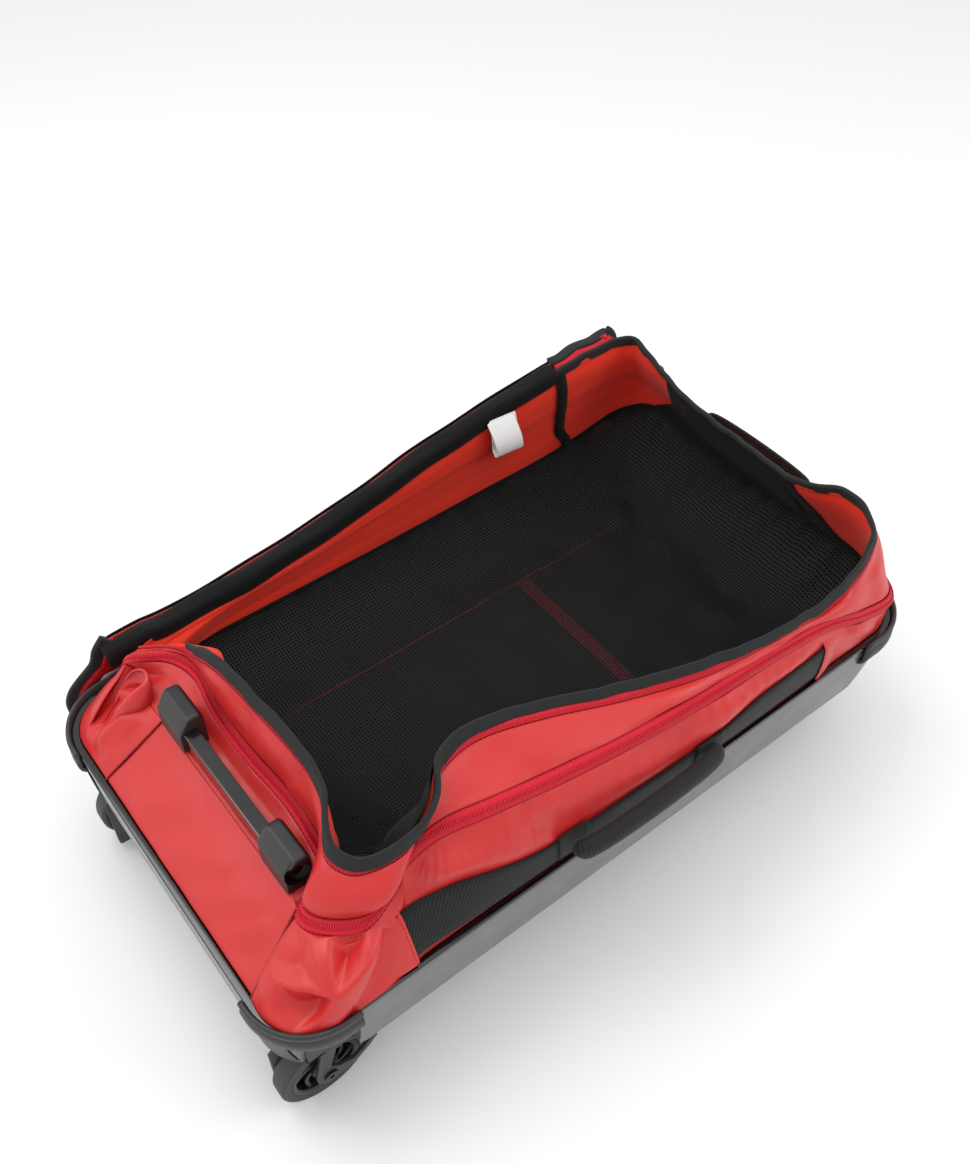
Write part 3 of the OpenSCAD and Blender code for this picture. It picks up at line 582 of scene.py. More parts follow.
def to_rim(p):
    """Moves points straight out to the rounded rectangle on which the fabric stands."""
    half = np.array([TRAY_L / 2 - 0.006, TRAY_W / 2 - 0.006])
    c = np.clip(p, RIM_R - half, half - RIM_R)
    q = c + RIM_R * unit(p - c)
    return np.column_stack([q, np.full(len(q), RIM_Z)])


BASE = to_rim(curve(mm(BASE_XY), PER))
ZIP = curve(mm(ZIP_XYZ), PER)
MOUTH = curve(mm(MOUTH_XYZ), PER)
COUNT = len(BASE)
STATION = np.arange(COUNT) / PER
OUT = unit(np.cross(tangents(BASE, True), UP))
BASE = BASE + OUT * (0.0065 * ease((STATION - 7.6) / 1.4) * ease((12.5 - STATION) / 1.5))[:, None]


def toward(a, b, distance, share):
    """A point that far from a towards b, but no further than that share of the way."""
    gap = np.linalg.norm(b - a, axis=1, keepdims=True)
    return a + unit(b - a) * np.minimum(distance, gap * share)


# How far the gusset bellies out, most in the middle of the near side
BELLY = 0.002 + 0.008 * ease((STATION - 11) / 4) * ease((20 - STATION) / 3)
MIDDLE = mix(BASE, ZIP, 0.5) + OUT * BELLY[:, None]
ZIP_LOW = toward(ZIP, MIDDLE, ZIP_W / 2, 0.4)
ZIP_HIGH = toward(ZIP, MOUTH, ZIP_W / 2, 0.3)
WALL_UP = unit(MOUTH - ZIP_HIGH)
TAPE_LOW = toward(MOUTH, ZIP_HIGH, 0.0162, 0.66)
TAPE_HIGH = toward(MOUTH, ZIP_HIGH, 0.0092, 0.42)


def rows_between(*rings, rows):
    """Rows of points on a smooth surface through two or three rings."""
    v = np.linspace(0, 1, rows)[:, None, None]
    if len(rings) == 2:
        return rings[0] * (1 - v) + rings[1] * v
    a, b, c = rings
    control = 2 * b - 0.5 * (a + c)
    return a * (1 - v) ** 2 + 2 * control * v * (1 - v) + c * v ** 2


def around(ring, a, b):
    """The part of a ring from station a to station b, which may run past the last."""
    return ring[np.arange(int(a * PER), int(b * PER) + 1) % COUNT]


def folded(grid, folds, closed=False):
    """Soft ridges and valleys along lines near the cloth: each has its points, height, width and sharpness."""
    normals = grid_normals(grid, closed)
    shift = np.zeros(grid.shape[:2])
    for line, height, width, power in folds:
        path = curve(mm(line), 6, closed=False)
        offset = grid[:, :, None] - path[None, None]
        gap = np.linalg.norm(offset, axis=3)
        nearest = gap.argmin(2)
        share = nearest / (len(path) - 1)
        fade = ease(share / 0.3) * ease((1 - share) / 0.3)
        shift += height / 1000 * fade * np.exp(-(gap.min(2) / (width / 1000)) ** power)
    return grid + normals * shift[..., None]


def rippled(grid, height, size, seed, closed=False, hold=None):
    """Slack in the cloth: a few long waves with seeded directions; hold is 0 where it is sewn down."""
    rng = np.random.default_rng(seed)
    total = np.zeros(grid.shape[:2])
    for k in range(7):
        direction = unit(rng.normal(size=3))
        wave = 2 * math.pi / (size * rng.uniform(0.6, 1.5))
        total += np.sin(grid @ direction * wave + rng.uniform(0, 6.28)) / 7 ** 0.5
    if hold is None:
        v = np.linspace(0, 1, grid.shape[0])[:, None]
        hold = ease(v * 4) * ease((1 - v) * 4)
    return grid + grid_normals(grid, closed) * (total * hold * height)[..., None]


def offset(grid, distance, closed=False):
    return grid + grid_normals(grid, closed) * distance


# ---- outer cloth ----------------------------------------------------------------------------------

# Folds in the gusset below the near corner, where the slack cloth is pushed down on the tray
GUSSET_FOLDS = [
    ([(-222, -170, 254), (-200, -186, 244), (-150, -198, 234)], 5.0, 9, 1.5),
    ([(-215, -178, 246), (-170, -192, 232), (-110, -204, 222)], 4.0, 18, 2.0),
    ([(-160, -186, 256), (-60, -196, 240), (40, -203, 230)], 4.0, 16, 1.8),
    ([(-130, -184, 262), (-118, -194, 246), (-112, -206, 228)], -4.0, 12, 1.7),
    ([(-20, -190, 258), (30, -196, 244), (50, -204, 228)], -3.0, 14, 1.7),
    ([(60, -200, 244), (150, -204, 232), (230, -206, 216)], 4.0, 12, 2.0),
    ([(262, -204, 226), (290, -206, 206), (318, -205, 190)], 4.0, 9, 1.7),
]
# The near corner's facets: places with a depth in mm, and the folds between them
CORNER_MARKS = [
    (-314, -140, 223, 0), (-311, -158, 223, 2), (-299, -168, 227, 2), (-287, -177, 229, -1),
    (-264, -183, 228, 2), (-314, -193, 199, 9), (-288, -190, 215, 8), (-327, -198, 185, 7),
    (-341, -198, 178, 2), (-353, -146, 190, 1), (-344, -161, 197, 3), (-329, -179, 200, 7),
    (-342, -180, 191, -2), (-327, -192, 192, -4), (-336, -194, 185, -3), (-362, -172, 180, 2),
    (-296, -185, 217, -7), (-325, -165, 208, -1), (-295, -201, 184, -2), (-276, -196, 195, -2),
    (-260, -190, 208, -2), (-250, -185, 216, 7), (-248, -190, 208, -2), (-239, -185, 218, -3),
    (-241, -192, 204, 2),
]
CORNER_LINKS = [(1, 5), (2, 5), (3, 16), (16, 5), (4, 6), (6, 5), (5, 7), (7, 8), (9, 10), (10, 11), (11, 5)]


def creased(grid, marks, links):
    """Presses flat facets into a grid: marks have a place and a depth in mm, links are the folds between."""
    reach, passes, deep = 0.03, 2, 1.7
    rows, cols = grid.shape[:2]
    across, down = lengths(grid[rows // 2]), lengths(grid[:, cols // 4])
    spots, depths = [], []
    for x, y, z, depth in marks:
        gap = np.linalg.norm(grid - np.array((x, y, z)) / 1000, axis=2)
        i, j = divmod(int(gap.argmin()), cols)
        spots.append((across[j], down[i]))
        depths.append(deep * depth / 1000)
    lo, hi = min(u for u, v in spots) - reach, max(u for u, v in spots) + reach
    lo = max(lo, 0.0)
    for u in np.linspace(lo, hi, 14):
        spots += [(u, -0.001), (u, down[-1] + 0.001)]
        depths += [0.0, 0.0]
    spots += [(lo - 0.001, down[-1] / 2), (hi + 0.001, down[-1] / 2)]
    depths += [0.0, 0.0]
    flat, _, triangles, source, _, _ = delaunay_2d_cdt([Vector(p) for p in spots], links, [], 0, 1e-6)
    level = np.array([depths[k[0]] if k else 0.0 for k in source])
    u, v = np.meshgrid(across, down)
    press = np.zeros((rows, cols))
    for a, b, c in triangles:
        pa, pb, pc = flat[a], flat[b], flat[c]
        area = (pb.x - pa.x) * (pc.y - pa.y) - (pc.x - pa.x) * (pb.y - pa.y)
        wb = ((u - pa.x) * (pc.y - pa.y) - (pc.x - pa.x) * (v - pa.y)) / area
        wc = ((pb.x - pa.x) * (v - pa.y) - (u - pa.x) * (pb.y - pa.y)) / area
        inside_it = (wb >= 0) & (wc >= 0) & (wb + wc <= 1)
        press[inside_it] = ((1 - wb - wc) * level[a] + wb * level[b] + wc * level[c])[inside_it]
    for _ in range(passes):
        press[1:-1] = (press[:-2] + 2 * press[1:-1] + press[2:]) / 4
        press[:, 1:-1] = (press[:, :-2] + 2 * press[:, 1:-1] + press[:, 2:]) / 4
    return grid + grid_normals(grid) * press[..., None]


def finer(path, k):
    """The path with k times as many steps."""
    return sample(path, np.linspace(0, len(path) - 1, (len(path) - 1) * k + 1))


def webbing_top(x):
    """Height of the webbing's upper edge, which the bellied cloth pushes down in the middle."""
    return 0.221 - 0.013 * ease((x + 0.20) / 0.10) * ease((0.15 - x) / 0.10)


def gusset_grid():
    rings = [finer(around(ring, SEAM, 34), 3) for ring in (BASE, MIDDLE, ZIP_LOW)]
    grid = rows_between(*rings, rows=45)
    loose = folded(creased(rippled(grid, 0.0022, 0.10, 5), CORNER_MARKS, CORNER_LINKS), GUSSET_FOLDS)
    x, y, z = np.moveaxis(grid, 2, 0)
    behind = ease((x + 0.262) / 0.02) * ease((0.25 - x) / 0.02) * (y < -0.15)
    free = 1 - behind * (1 - ease((z - webbing_top(x)) / 0.016))
    return mix(grid, loose, free[..., None])


GUSSET = gusset_grid()
# The end panel's corners, hinge side first
PANEL_TOP_X, PANEL_TOP_Z = -0.3065, 0.2285
PANEL_LOW = (-0.3675, 0.110, RIM_Z), (-0.3675, -0.149, RIM_Z)
PANEL_HIGH = (PANEL_TOP_X, 0.097, PANEL_TOP_Z), (PANEL_TOP_X, -0.131, PANEL_TOP_Z)
PANEL_FOLDS = [
    ([(-364, 70, 180), (-350, 50, 192), (-334, 20, 205), (-320, 0, 218)], 3.0, 16, 1.8),
    ([(-364, 20, 180), (-350, -10, 192), (-334, -45, 205), (-318, -70, 218)], 3.5, 13, 1.7),
    ([(-364, -30, 180), (-350, -60, 192), (-330, -92, 208), (-314, -110, 222)], 3.0, 12, 1.7),
    ([(-364, -90, 180), (-345, -110, 196), (-325, -125, 212)], 2.5, 12, 1.7),
]


def end_panel_grid():
    """The stiff slanting panel under the grab bar."""
    rows, cols = 20, 60
    low, high = np.linspace(*PANEL_LOW, cols), np.linspace(*PANEL_HIGH, cols)
    return rippled(folded(rows_between(low, high, rows=rows), PANEL_FOLDS), 0.0012, 0.085, 11)


def ledge_grid():
    """The flat ledge behind the grab bar, up to the expander zip."""
    edge = around(ZIP_LOW, 0, SEAM)
    y = np.interp(np.arange(len(edge)) / PER, np.arange(SEAM + 1),
                  (0.165, 0.135, 0.110, 0.065, 0.015, -0.045, -0.085, -0.115, -0.131))
    front = np.column_stack([np.full(len(y), PANEL_TOP_X), y, np.full(len(y), PANEL_TOP_Z)])
    front[:PER, 0] -= np.linspace(0.012, 0, PER)
    front[:PER, 2] -= np.linspace(0.012, 0, PER)
    back = front + (0.026, 0, 0.001)
    back = mix(back, mix(front, edge, 0.5), ease(np.arange(len(y)) / PER - 6.6)[:, None])
    rows = np.concatenate([rows_between(front, back, rows=5)[:-1], rows_between(back, edge, rows=7)])
    return rippled(rows, 0.0009, 0.05, 3)


LEDGE = ledge_grid()
SHOULDER_FOLDS = [
    ([(-364, 138, 182), (-350, 139, 198), (-336, 135, 212), (-316, 126, 228)], 9.0, 8, 1.25),
    ([(-358, 162, 184), (-344, 158, 202), (-326, 156, 216), (-312, 156, 226)], -10.0, 13, 1.7),
    ([(-352, 118, 188), (-334, 114, 208), (-318, 112, 224)], -2.0, 6, 1.7),
]


def shoulder_grid():
    """Slack cloth between the end panel and the hinge side, with the diagonal fold that leads to its ear."""
    rows, cols = 25, 40
    low = even(np.concatenate([around(BASE, 33, 34), around(BASE, 0, 1.9)[1:], PANEL_LOW[:1]]), cols)
    high = even(np.concatenate([around(ZIP_LOW, 33, 34), LEDGE[::-1, 0][1:], LEDGE[0, 1:int(2.3 * PER)],
                                PANEL_HIGH[:1]]), cols)
    t = np.linspace(0, 1, cols)
    free = (ease(t * 5) * ease((1 - t) * 7))[:, None]
    hinge = (1 - ease(t * 1.6))[:, None]
    bulge = mix(np.array((-0.004, 0.001, 0.003)), np.array((0.012, -0.008, 0.002)), hinge)
    grid = rows_between(low, mix(low, high, 0.5) + bulge * free, high, rows=rows)
    v = np.linspace(0, 1, rows)[:, None, None]
    hold = free[None] * ease((1 - v) * 5)
    return mix(grid, folded(rippled(grid, 0.0016, 0.07, 17), SHOULDER_FOLDS), hold)


def shoulder_ear():
    """The fold's upper end, which stands up and curls round like a lip."""
    root = curve(mm([(-346, 139, 202), (-330, 132, 214), (-314, 122, 224), (-303, 124, 228), (-300, 138, 232),
                     (-306, 152, 228), (-316, 160, 220)]), 8, closed=False)
    top = curve(mm([(-347, 140, 204), (-332, 136, 226), (-315, 129, 243), (-300, 129, 249), (-296, 142, 250),
                    (-304, 156, 240), (-317, 162, 221)]), 8, closed=False)
    root, top = even(root, 40), even(top, 40)
    middle = np.array((-0.314, 0.144, 0.0))
    t = np.linspace(0, 1, 40)[:, None]
    full = np.sin(math.pi * t) ** 0.7
    outward = unit((root - middle) * (1, 1, 0))
    belly = mix(root, top, 0.6) + outward * 0.004 * full
    lip = top - outward * 0.003 * full
    rows = np.concatenate([rows_between(root, belly, top, rows=14), [mix(top, lip, 0.5), lip]])
    return rippled(rows, 0.0006, 0.03, 9)


def fabric_walls():
    """The walls' outer cloth: the sheets below the expander zip, and the band above it."""
    for name, grid, mat, thick, levels, *nodes in (
            ("gusset", GUSSET, "red", CLOTH_T, 0, "lower_gusset"),
            ("end_panel_skin", end_panel_grid(), "red_stiff", 0.003, 1, "end_panel"),
            ("bar_ledge", LEDGE, "red", CLOTH_T, 1, "end_flap"),
            ("shoulder_cloth", shoulder_grid(), "red", CLOTH_T, 1),
            ("shoulder_ear_fold", shoulder_ear(), "red", 0.0015, 1)):
        place(sheet(name, grid, M[mat], thick, subdivide=levels), "bag", "red_fabric", *nodes)
    corner = ease((STATION - 6.2) / 1.8) * ease((11.6 - STATION) / 1.8)
    out = OUT * (0.0020 + 0.0080 * corner)[:, None]
    band = rows_between(ZIP_HIGH, mix(ZIP_HIGH, TAPE_LOW, 0.5) + out, TAPE_LOW, rows=15)
    band = folded(rippled(band, 0.0024, 0.09, 8, True), BAND_FOLDS, True)
    place(sheet("upper_band_skin", band, M["red"], closed=True, subdivide=1), "bag", "red_fabric", "upper_band")


BAND_FOLDS = [
    ([(-246, 110, 248), (-244, 108, 262), (-246, 104, 278)], -5.0, 8, 1.5),
    ([(-252, 60, 250), (-250, 40, 262), (-258, 20, 276)], 3.5, 12, 1.8),
    ([(-262, -40, 250), (-266, -70, 262), (-282, -100, 274)], 4.0, 11, 1.8),
    ([(-120, -184, 262), (-104, -178, 272), (-92, -170, 284)], -3.5, 10, 1.7),
    ([(-60, -190, 258), (-20, -188, 268), (30, -190, 276)], 3.0, 12, 1.8),
    ([(100, -200, 254), (140, -198, 262), (200, -198, 268)], 3.0, 10, 1.8),
    ([(-262, -160, 262), (-240, -168, 270), (-214, -165, 278)], 3.0, 9, 2.0),
    ([(-196, -158, 276), (-184, -156, 280), (-176, -150, 288)], 4.0, 8, 1.8),
    ([(-150, -150, 280), (-120, -150, 282), (-80, -160, 276)], -1.5, 14, 2.0),
    ([(230, -197, 262), (262, -197, 250), (290, -200, 236)], 3.0, 8, 1.8),
    ([(318, -185, 262), (322, -190, 240), (330, -195, 222)], 3.0, 10, 1.8),
]


def seam_welt(name, a, b):
    """A sewn seam as a thin raised cord of folded cloth between two points on a plane."""
    lift, radius = 0.0008, 0.0011
    path = np.linspace(a, b, 24) + UP * lift
    place(sweep(name, path, ellipse(radius * 2, radius * 1.6, 6), UP, M["dark_thread"]), "bag", "red_fabric")


def tape_and_teeth():
    """The closed expander zip round the bag, and the open half of the main zip under the mouth's binding."""
    rows = rows_between(ZIP_LOW, ZIP + OUT * 0.0006, ZIP_HIGH, rows=5)
    tape = offset(rows, 0.0010, True)
    place(sheet("expander_tape", tape, M["tape"], 0.0012, closed=True, subdivide=1), "bag", "crimson_zip",
          "expander_zip")
    centre, normal = tape[2], grid_normals(tape, True)[2]
    coil("expander_coil", centre, normal, 0.0050, 0.0021, True)
    for k, name in ((0, "expander_stitch_low"), (4, "expander_stitch_high")):
        line = mix(tape[k], centre, 0.12)
        place(stitches(name, line, normal, M["dark_thread"], True), "bag", "crimson_zip")

    low, high = around(TAPE_LOW, 0, 27.6), around(TAPE_HIGH, 0, 27.6)
    half = offset(rows_between(low, high, rows=4), 0.0005)
    place(sheet("main_zip_tape", half, M["tape"], 0.0012, subdivide=1), "bag", "crimson_zip", "main_zip")
    edge, normal = mix(half[1], half[2], 0.5), grid_normals(half)[2]
    coil("main_zip_coil", edge, normal, 0.0034, 0.0021, False)
    seam = mix(half[0], half[1], 0.15)
    place(stitches("main_zip_stitch", seam, normal, M["dark_thread"]), "bag", "crimson_zip")


def coil(name, line, normal, width, pitch, closed, body="bag"):
    """A row of zip teeth across a line, each a small rounded bar."""
    at, index = walk(line, pitch, closed)
    n = unit(sample(np.broadcast_to(normal, line.shape), index, closed))
    t = tangents(at, closed)
    across = unit(np.cross(n, t))
    teeth = stamp(name, pill(width, pitch * 0.62, 0.0016), at + n * 0.0005, across, t, n, M["teeth"])
    return place(teeth, body, "crimson_zip")


def mouth_binding():
    """Charcoal binding folded over the mouth's edge, but not where it is tucked in at the hinge corner."""
    path = MOUTH - WALL_UP * 0.0050
    rng = np.random.default_rng(4)
    s = lengths(path)
    wobble = sum(np.sin(s * w + p) for w, p in zip(rng.uniform(60, 190, 4), rng.uniform(0, 6, 4))) * 0.00035
    path = path + OUT * wobble[:, None]
    size = 1 - 0.22 * ease((STATION - 13.5) / 1.5) * ease((21.5 - STATION) / 1.5)
    size *= 1 - 0.55 * np.maximum(ease((2.8 - STATION) / 0.8), ease((STATION - 31.8) / 0.8))
    a, b = int(2.1 * PER), int(32.4 * PER)
    obj = sweep("mouth_binding", path[a:b], rounded(0.0052, 0.0128, 0.0023, 3), WALL_UP[a:b], M["binding"],
                scale=size[a:b])
    return place(obj, "bag", "charcoal_fabric", "rim_binding")


def wall_rows():
    """The whole wall from the rim to the mouth, as rows of points that the inner lining follows."""
    end = ease((STATION - 0.4) / 0.8) * ease((8.0 - STATION) / 0.7)
    y = BASE[:, 1] * 0.9
    front = np.column_stack([np.full(COUNT, PANEL_TOP_X), y, np.full(COUNT, PANEL_TOP_Z)])
    _, low, high, _ = rows_between(BASE, MIDDLE, ZIP_LOW, rows=4)
    low = mix(low, front, end[:, None])
    high = mix(high, front + (0.026, 0, 0), end[:, None])
    rings = [BASE, low, high, ZIP_LOW, ZIP_HIGH, mix(ZIP_HIGH, TAPE_LOW, 0.5), TAPE_LOW,
             MOUTH - WALL_UP * 0.006]
    rows = []
    for a, b in zip(rings[:-1], rings[1:]):
        rows += list(rows_between(a, b, rows=5)[:-1])
    return np.array(rows + [rings[-1]])


INNER = offset(wall_rows(), -0.0046, True)
LEVEL = np.arange(len(INNER))[:, None]
SHOULDER = np.maximum(ease((STATION - 31.5) / 1.5), ease((3.2 - STATION) / 1.5))
CREASES = ease((STATION - 7.6) / 1.0) * ease((14.6 - STATION) / 1.0)
WHEEL_END = ease((STATION - 1.5) / 0.5) * ease((8.8 - STATION) / 0.5)
# How much further in than the cloth the lining hangs: below the expander zip, in the band, at the mouth's edge
SLACK = (0.018 * SHOULDER + 0.019 * CREASES + 0.007 * WHEEL_END + 0.002)[None] * (
    ease(LEVEL / 4) * ease((20 - LEVEL) / 5))
SLACK = SLACK + 0.003 * ease((LEVEL - 15) / 3) * ease((25 - LEVEL) / 4) - 0.0026 * ease((LEVEL - 23) / 4)
INNER = INNER - OUT[None] * SLACK[..., None]


def lining():
    """Red lining on the inside of the walls, and the black cloth over its far end."""
    grid = rippled(INNER, 0.0012, 0.12, 21, True)
    place(sheet("wall_lining", grid, M["inner_red"], 0.0008, closed=True, side=1.0), "bag", "red_fabric")
    far = offset(grid, -0.0016, True)
    rows, cols = 18, 40
    v = np.linspace(0.02, 1.0, rows)
    left = 21.6 + 1.5 * ease(v)
    right = 26.6 - 1.1 * ease(v * 1.2)
    panel = np.array([[bilinear(far, a * (len(far) - 1), b * PER) for b in np.linspace(l, r, cols)]
                      for a, l, r in zip(v, left, right)])
    panel[0, :, 2] -= 0.010
    panel[-1, :, 2] += 0.005
    place(sheet("far_end_lining", panel, M["black_cloth"], 0.0008, subdivide=1), "bag", "charcoal_fabric")


def bilinear(grid, row, col):
    """A point of a grid that is closed along its rows, at a fractional row and column."""
    i, j = int(min(row, len(grid) - 1.001)), int(col)
    a, b = row - i, col - j
    n = grid.shape[1]
    p, q = grid[i], grid[i + 1]
    return mix(mix(p[j % n], p[(j + 1) % n], b), mix(q[j % n], q[(j + 1) % n], b), a)


# ---- trims on the near side -----------------------------------------------------------------------

def near_strip(x0, x1, z0, z1, lift, rows=7, cols=70):
    """Points on the near side's gusset between two X and two heights, lifted off it."""
    shape = rows_between(around(BASE, 9, 21), around(MIDDLE, 9, 21), around(ZIP_LOW, 9, 21), rows=29)
    grid = np.zeros((rows, cols, 3))
    for j, x in enumerate(np.linspace(x0, x1, cols)):
        line = np.array([[np.interp(x, row[:, 0], row[:, k]) for k in (1, 2)] for row in shape])
        z = np.linspace(z0, min(z1(x) if callable(z1) else z1, line[-1, 1] - 0.004), rows)
        grid[:, j] = np.column_stack([np.full(rows, x), np.interp(z, line[:, 1], line[:, 0]), z])
    return offset(grid, lift)


def near_side_trims():
    web = near_strip(-0.251, 0.232, 0.1830, lambda x: webbing_top(x) + 0.004, 0.0030)
    place(sheet("side_webbing_strap", web, M["webbing"], 0.0018), "bag", "black_webbing", "side_webbing")
    for k, name in ((0, "webbing_stitch_low"), (-1, "webbing_stitch_high")):
        line = mix(web[k], web[3], 0.12)
        place(stitches(name, line, grid_normals(web)[3], M["black_thread"]), "bag", "black_webbing")
    patches = []
    for k, (x0, x1, edge) in enumerate(((-0.300, -0.246, -1), (0.226, 0.292, 0))):
        patch = near_strip(x0, x1, 0.1775, 0.242, 0.0, rows=12, cols=16)
        u = np.linspace(0, 1, 16)[None, :]
        v = np.linspace(0, 1, 12)[:, None]
        top = ease((v - 0.8) / 0.2)
        lift = mix(0.0052, -0.0050, ease((1 - u if edge else u) / 0.8)) * (1 - top) - 0.0025 * top
        patch = patch + grid_normals(patch) * lift[..., None]
        patches.append(sheet(f"patch_{k}", patch, M["red"], 0.0016, subdivide=1))
        side = patch[:9, edge] + (-0.003 if edge else 0.003, -0.0004, 0)
        seam = stitches(f"patch_stitch_{k}", side, grid_normals(patch)[:9, edge], M["red_thread"])
        place(seam, "bag", "red_fabric")
    place(join("corner_patches", patches), "bag", "red_fabric", "fabric_patches")


def side_handle():
    """Padded sleeve with ribs, on a strap whose ends are sewn to the webbing."""
    lo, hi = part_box("side_handle")
    mid, reach = (lo.x + hi.x) / 2 - 0.005, (hi.x - lo.x) / 2 - 0.0085
    a = np.linspace(math.pi, 0, 65)
    y0 = -TRAY_W / 2 - 0.0050
    path = np.column_stack([mid + reach * np.cos(a), y0 - 0.0135 * np.sin(a) ** 0.5, 0.203 + 0.006 * np.sin(a)])
    size = 0.70 + 0.30 * ease(np.sin(a) * 3)
    sides, held = 18, 3
    pad = sweep("side_handle_pad", path, ellipse(0.0165, 0.0240, sides), UP, M["handle"], scale=size)
    ends = [*range(held * sides), *range((len(path) - held) * sides, len(path) * sides)]
    settled(pad, ends, frames=16, cap=0.0020, pressure=2.0, gravity=0.0)
    place(subdivided(pad, 1), "side_handle", "black_webbing", "side_handle")


FAR_HANDLE_Z = 0.232


def handle_tabs():
    """Webbing under the ends of both handles, sewn down in a box of stitches on the near side."""
    tabs = []
    for k, x in enumerate((-0.084, 0.073)):
        tab = near_strip(x - 0.016, x + 0.016, 0.186, 0.218, 0.0046, rows=8, cols=10)
        tabs.append(sheet(f"tab_{k}", tab, M["webbing"], 0.0014))
        box = np.concatenate([tab[0], tab[:, -1], tab[-1][::-1], tab[::-1, 0]])
        box = mix(box, tab.reshape(-1, 3).mean(0), 0.12)
        seam = stitches(f"tab_stitch_{k}", box, grid_normals(tab)[4, 5], M["black_thread"])
        place(seam, "bag", "black_webbing")
    for k, y in enumerate((-0.052, 0.092)):
        wall = [[(0.3685, y + w, FAR_HANDLE_Z + h) for w in np.linspace(-0.012, 0.012, 6)]
                for h in np.linspace(-0.010, 0.010, 6)]
        tabs.append(sheet(f"far_tab_{k}", np.array(wall), M["webbing"], 0.0014))
    place(join("handle_tabs", tabs), "bag", "black_webbing", "handle_anchors")


def far_handle():
    lo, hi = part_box("far_handle")
    mid, reach = (lo.y + hi.y) / 2, (hi.y - lo.y) / 2 - 0.003
    a = np.linspace(math.pi, 0, 49)
    path = np.column_stack([0.3720 + 0.0095 * np.sin(a) ** 0.6, mid + reach * np.cos(a),
                            np.full(len(a), FAR_HANDLE_Z)])
    strap = sweep("far_handle_strap", path, rounded(0.0042, 0.0200, 0.0018, 3), UP, M["webbing"])
    place(strap, "far_handle", "black_webbing", "far_handle")


# ---- inside ---------------------------------------------------------------------------------------

def inside():
    lo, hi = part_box("floor_liner")
    floor_pad(lo, hi)
    tray_lining(hi.z)
    piping(lo, hi)
    mesh_divider()
    care_label()
    seam_tape()


def floor_pad(lo, hi):
    """Padded cloth floor, lower at its edges."""
    rows, cols = 40, 80
    x = np.linspace(lo.x, hi.x, cols)
    y = np.linspace(lo.y, hi.y, rows)
    gx, gy = np.meshgrid(x, y)
    edge = np.minimum.reduce([gx - lo.x, hi.x - gx, gy - lo.y, hi.y - gy])
    gz = hi.z - 0.002 + 0.0018 * ease(edge / 0.02)
    grid = rippled(np.stack([gx, gy, gz], 2), 0.0006, 0.14, 2)
    place(sheet("floor_pad", grid, M["black_cloth"], 0.0015), "bag", "charcoal_fabric", "floor_liner")


def ring_at(inset_x, inset_y, r, z, corner=10, shift=0.0):
    """A rounded rectangle of the tray, stepped in from its rim, as a closed ring at one height."""
    pts = rounded(TRAY_L - 2 * inset_x, TRAY_W - 2 * inset_y, r, corner)
    return np.array([(x + shift, y, z) for x, y in pts])


def tray_lining(floor_z):
    """Black cloth that lines the tray between the mesh and the floor."""
    z = np.linspace(0.1745, floor_z, 6)
    grid = np.array([ring_at(0.010 + 0.06 * t ** 3, 0.012 + 0.055 * t ** 2.4, 0.046, h)
                     for t, h in zip(np.linspace(0, 1, 6), z)])[::-1]
    place(sheet("tray_cloth", grid, M["black_cloth"], 0.0008, closed=True, side=1.0), "bag", "charcoal_fabric")


def piping(lo, hi):
    """Crimson piping on the floor: a loop round it and a cross strap."""
    z = hi.z + 0.0016
    ring = np.array([(x + (lo.x + hi.x) / 2, y, z)
                     for x, y in rounded(hi.x - lo.x - 0.012, hi.y - lo.y - 0.012, 0.026, 6)])
    loop = sweep("piping_loop", ring, ellipse(0.0032, 0.0030, 8), UP, M["tape"], True)
    x = 0.147
    strap = [[(x + w, y, z + 0.0008) for y in np.linspace(lo.y + 0.008, hi.y - 0.008, 30)]
             for w in (-0.0075, 0, 0.0075)]
    cross = sheet("piping_strap", np.array(strap)[::-1], M["tape"], 0.0012)
    place(join("floor_piping_trim", [loop, cross]), "bag", "crimson_zip", "floor_piping")


# Height above the divider's plane at which its edge is sewn to the walls, by station
MESH_EDGE = [10, 8, 10, 16, 26, 40, 54, 66, 80, 84, 84, 80, 66, 40, 22, 14, 10, 10, 10, 8, 8, 12, 34, 40, 30,
             26, 34, 22, 4, 2, 0, 0, 0, 6]


def coons(near, far, left, right):
    """A surface through four edges: near and far run with u, left and right with v."""
    u = np.linspace(0, 1, len(near))[None, :, None]
    v = np.linspace(0, 1, len(left))[:, None, None]
    ruled = mix(near[None], far[None], v) + mix(left[:, None], right[:, None], u)
    corners = mix(mix(near[0], near[-1], u), mix(far[0], far[-1], u), v)
    return ruled - corners


MESH_FOLDS = [
    ([(-262, -118, 190), (-235, -100, 178), (-190, -85, 170)], 11.0, 11, 1.6),
    ([(-246, -150, 205), (-205, -128, 184), (-160, -110, 170)], 15.0, 12, 1.6),
    ([(-200, -165, 205), (-160, -138, 182), (-110, -120, 170)], 9.0, 13, 1.8),
    ([(-225, -132, 192), (-190, -108, 178), (-150, -92, 168)], -6.0, 12, 1.8),
    ([(320, -130, 190), (280, -100, 176), (200, -70, 168)], 8.0, 16, 1.8),
    ([(330, 60, 200), (290, 50, 178), (220, 30, 168)], 7.0, 18, 1.8),
    ([(300, 150, 200), (270, 110, 176), (220, 80, 168)], 6.0, 14, 1.8),
]


def mesh_edge():
    """The line along which the divider is sewn to the walls, one point for each of the walls' columns."""
    lift = curve(np.array(MESH_EDGE, float)[:, None] / 1000, PER)[:, 0]
    edge = np.zeros((COUNT, 3))
    for j in range(COUNT):
        column = INNER[:-3, j]
        order = np.argsort(column[:, 2])
        edge[j] = [np.interp(RIM_Z + 0.001 + lift[j], column[order, 2], column[order, k]) for k in range(3)]
    return edge


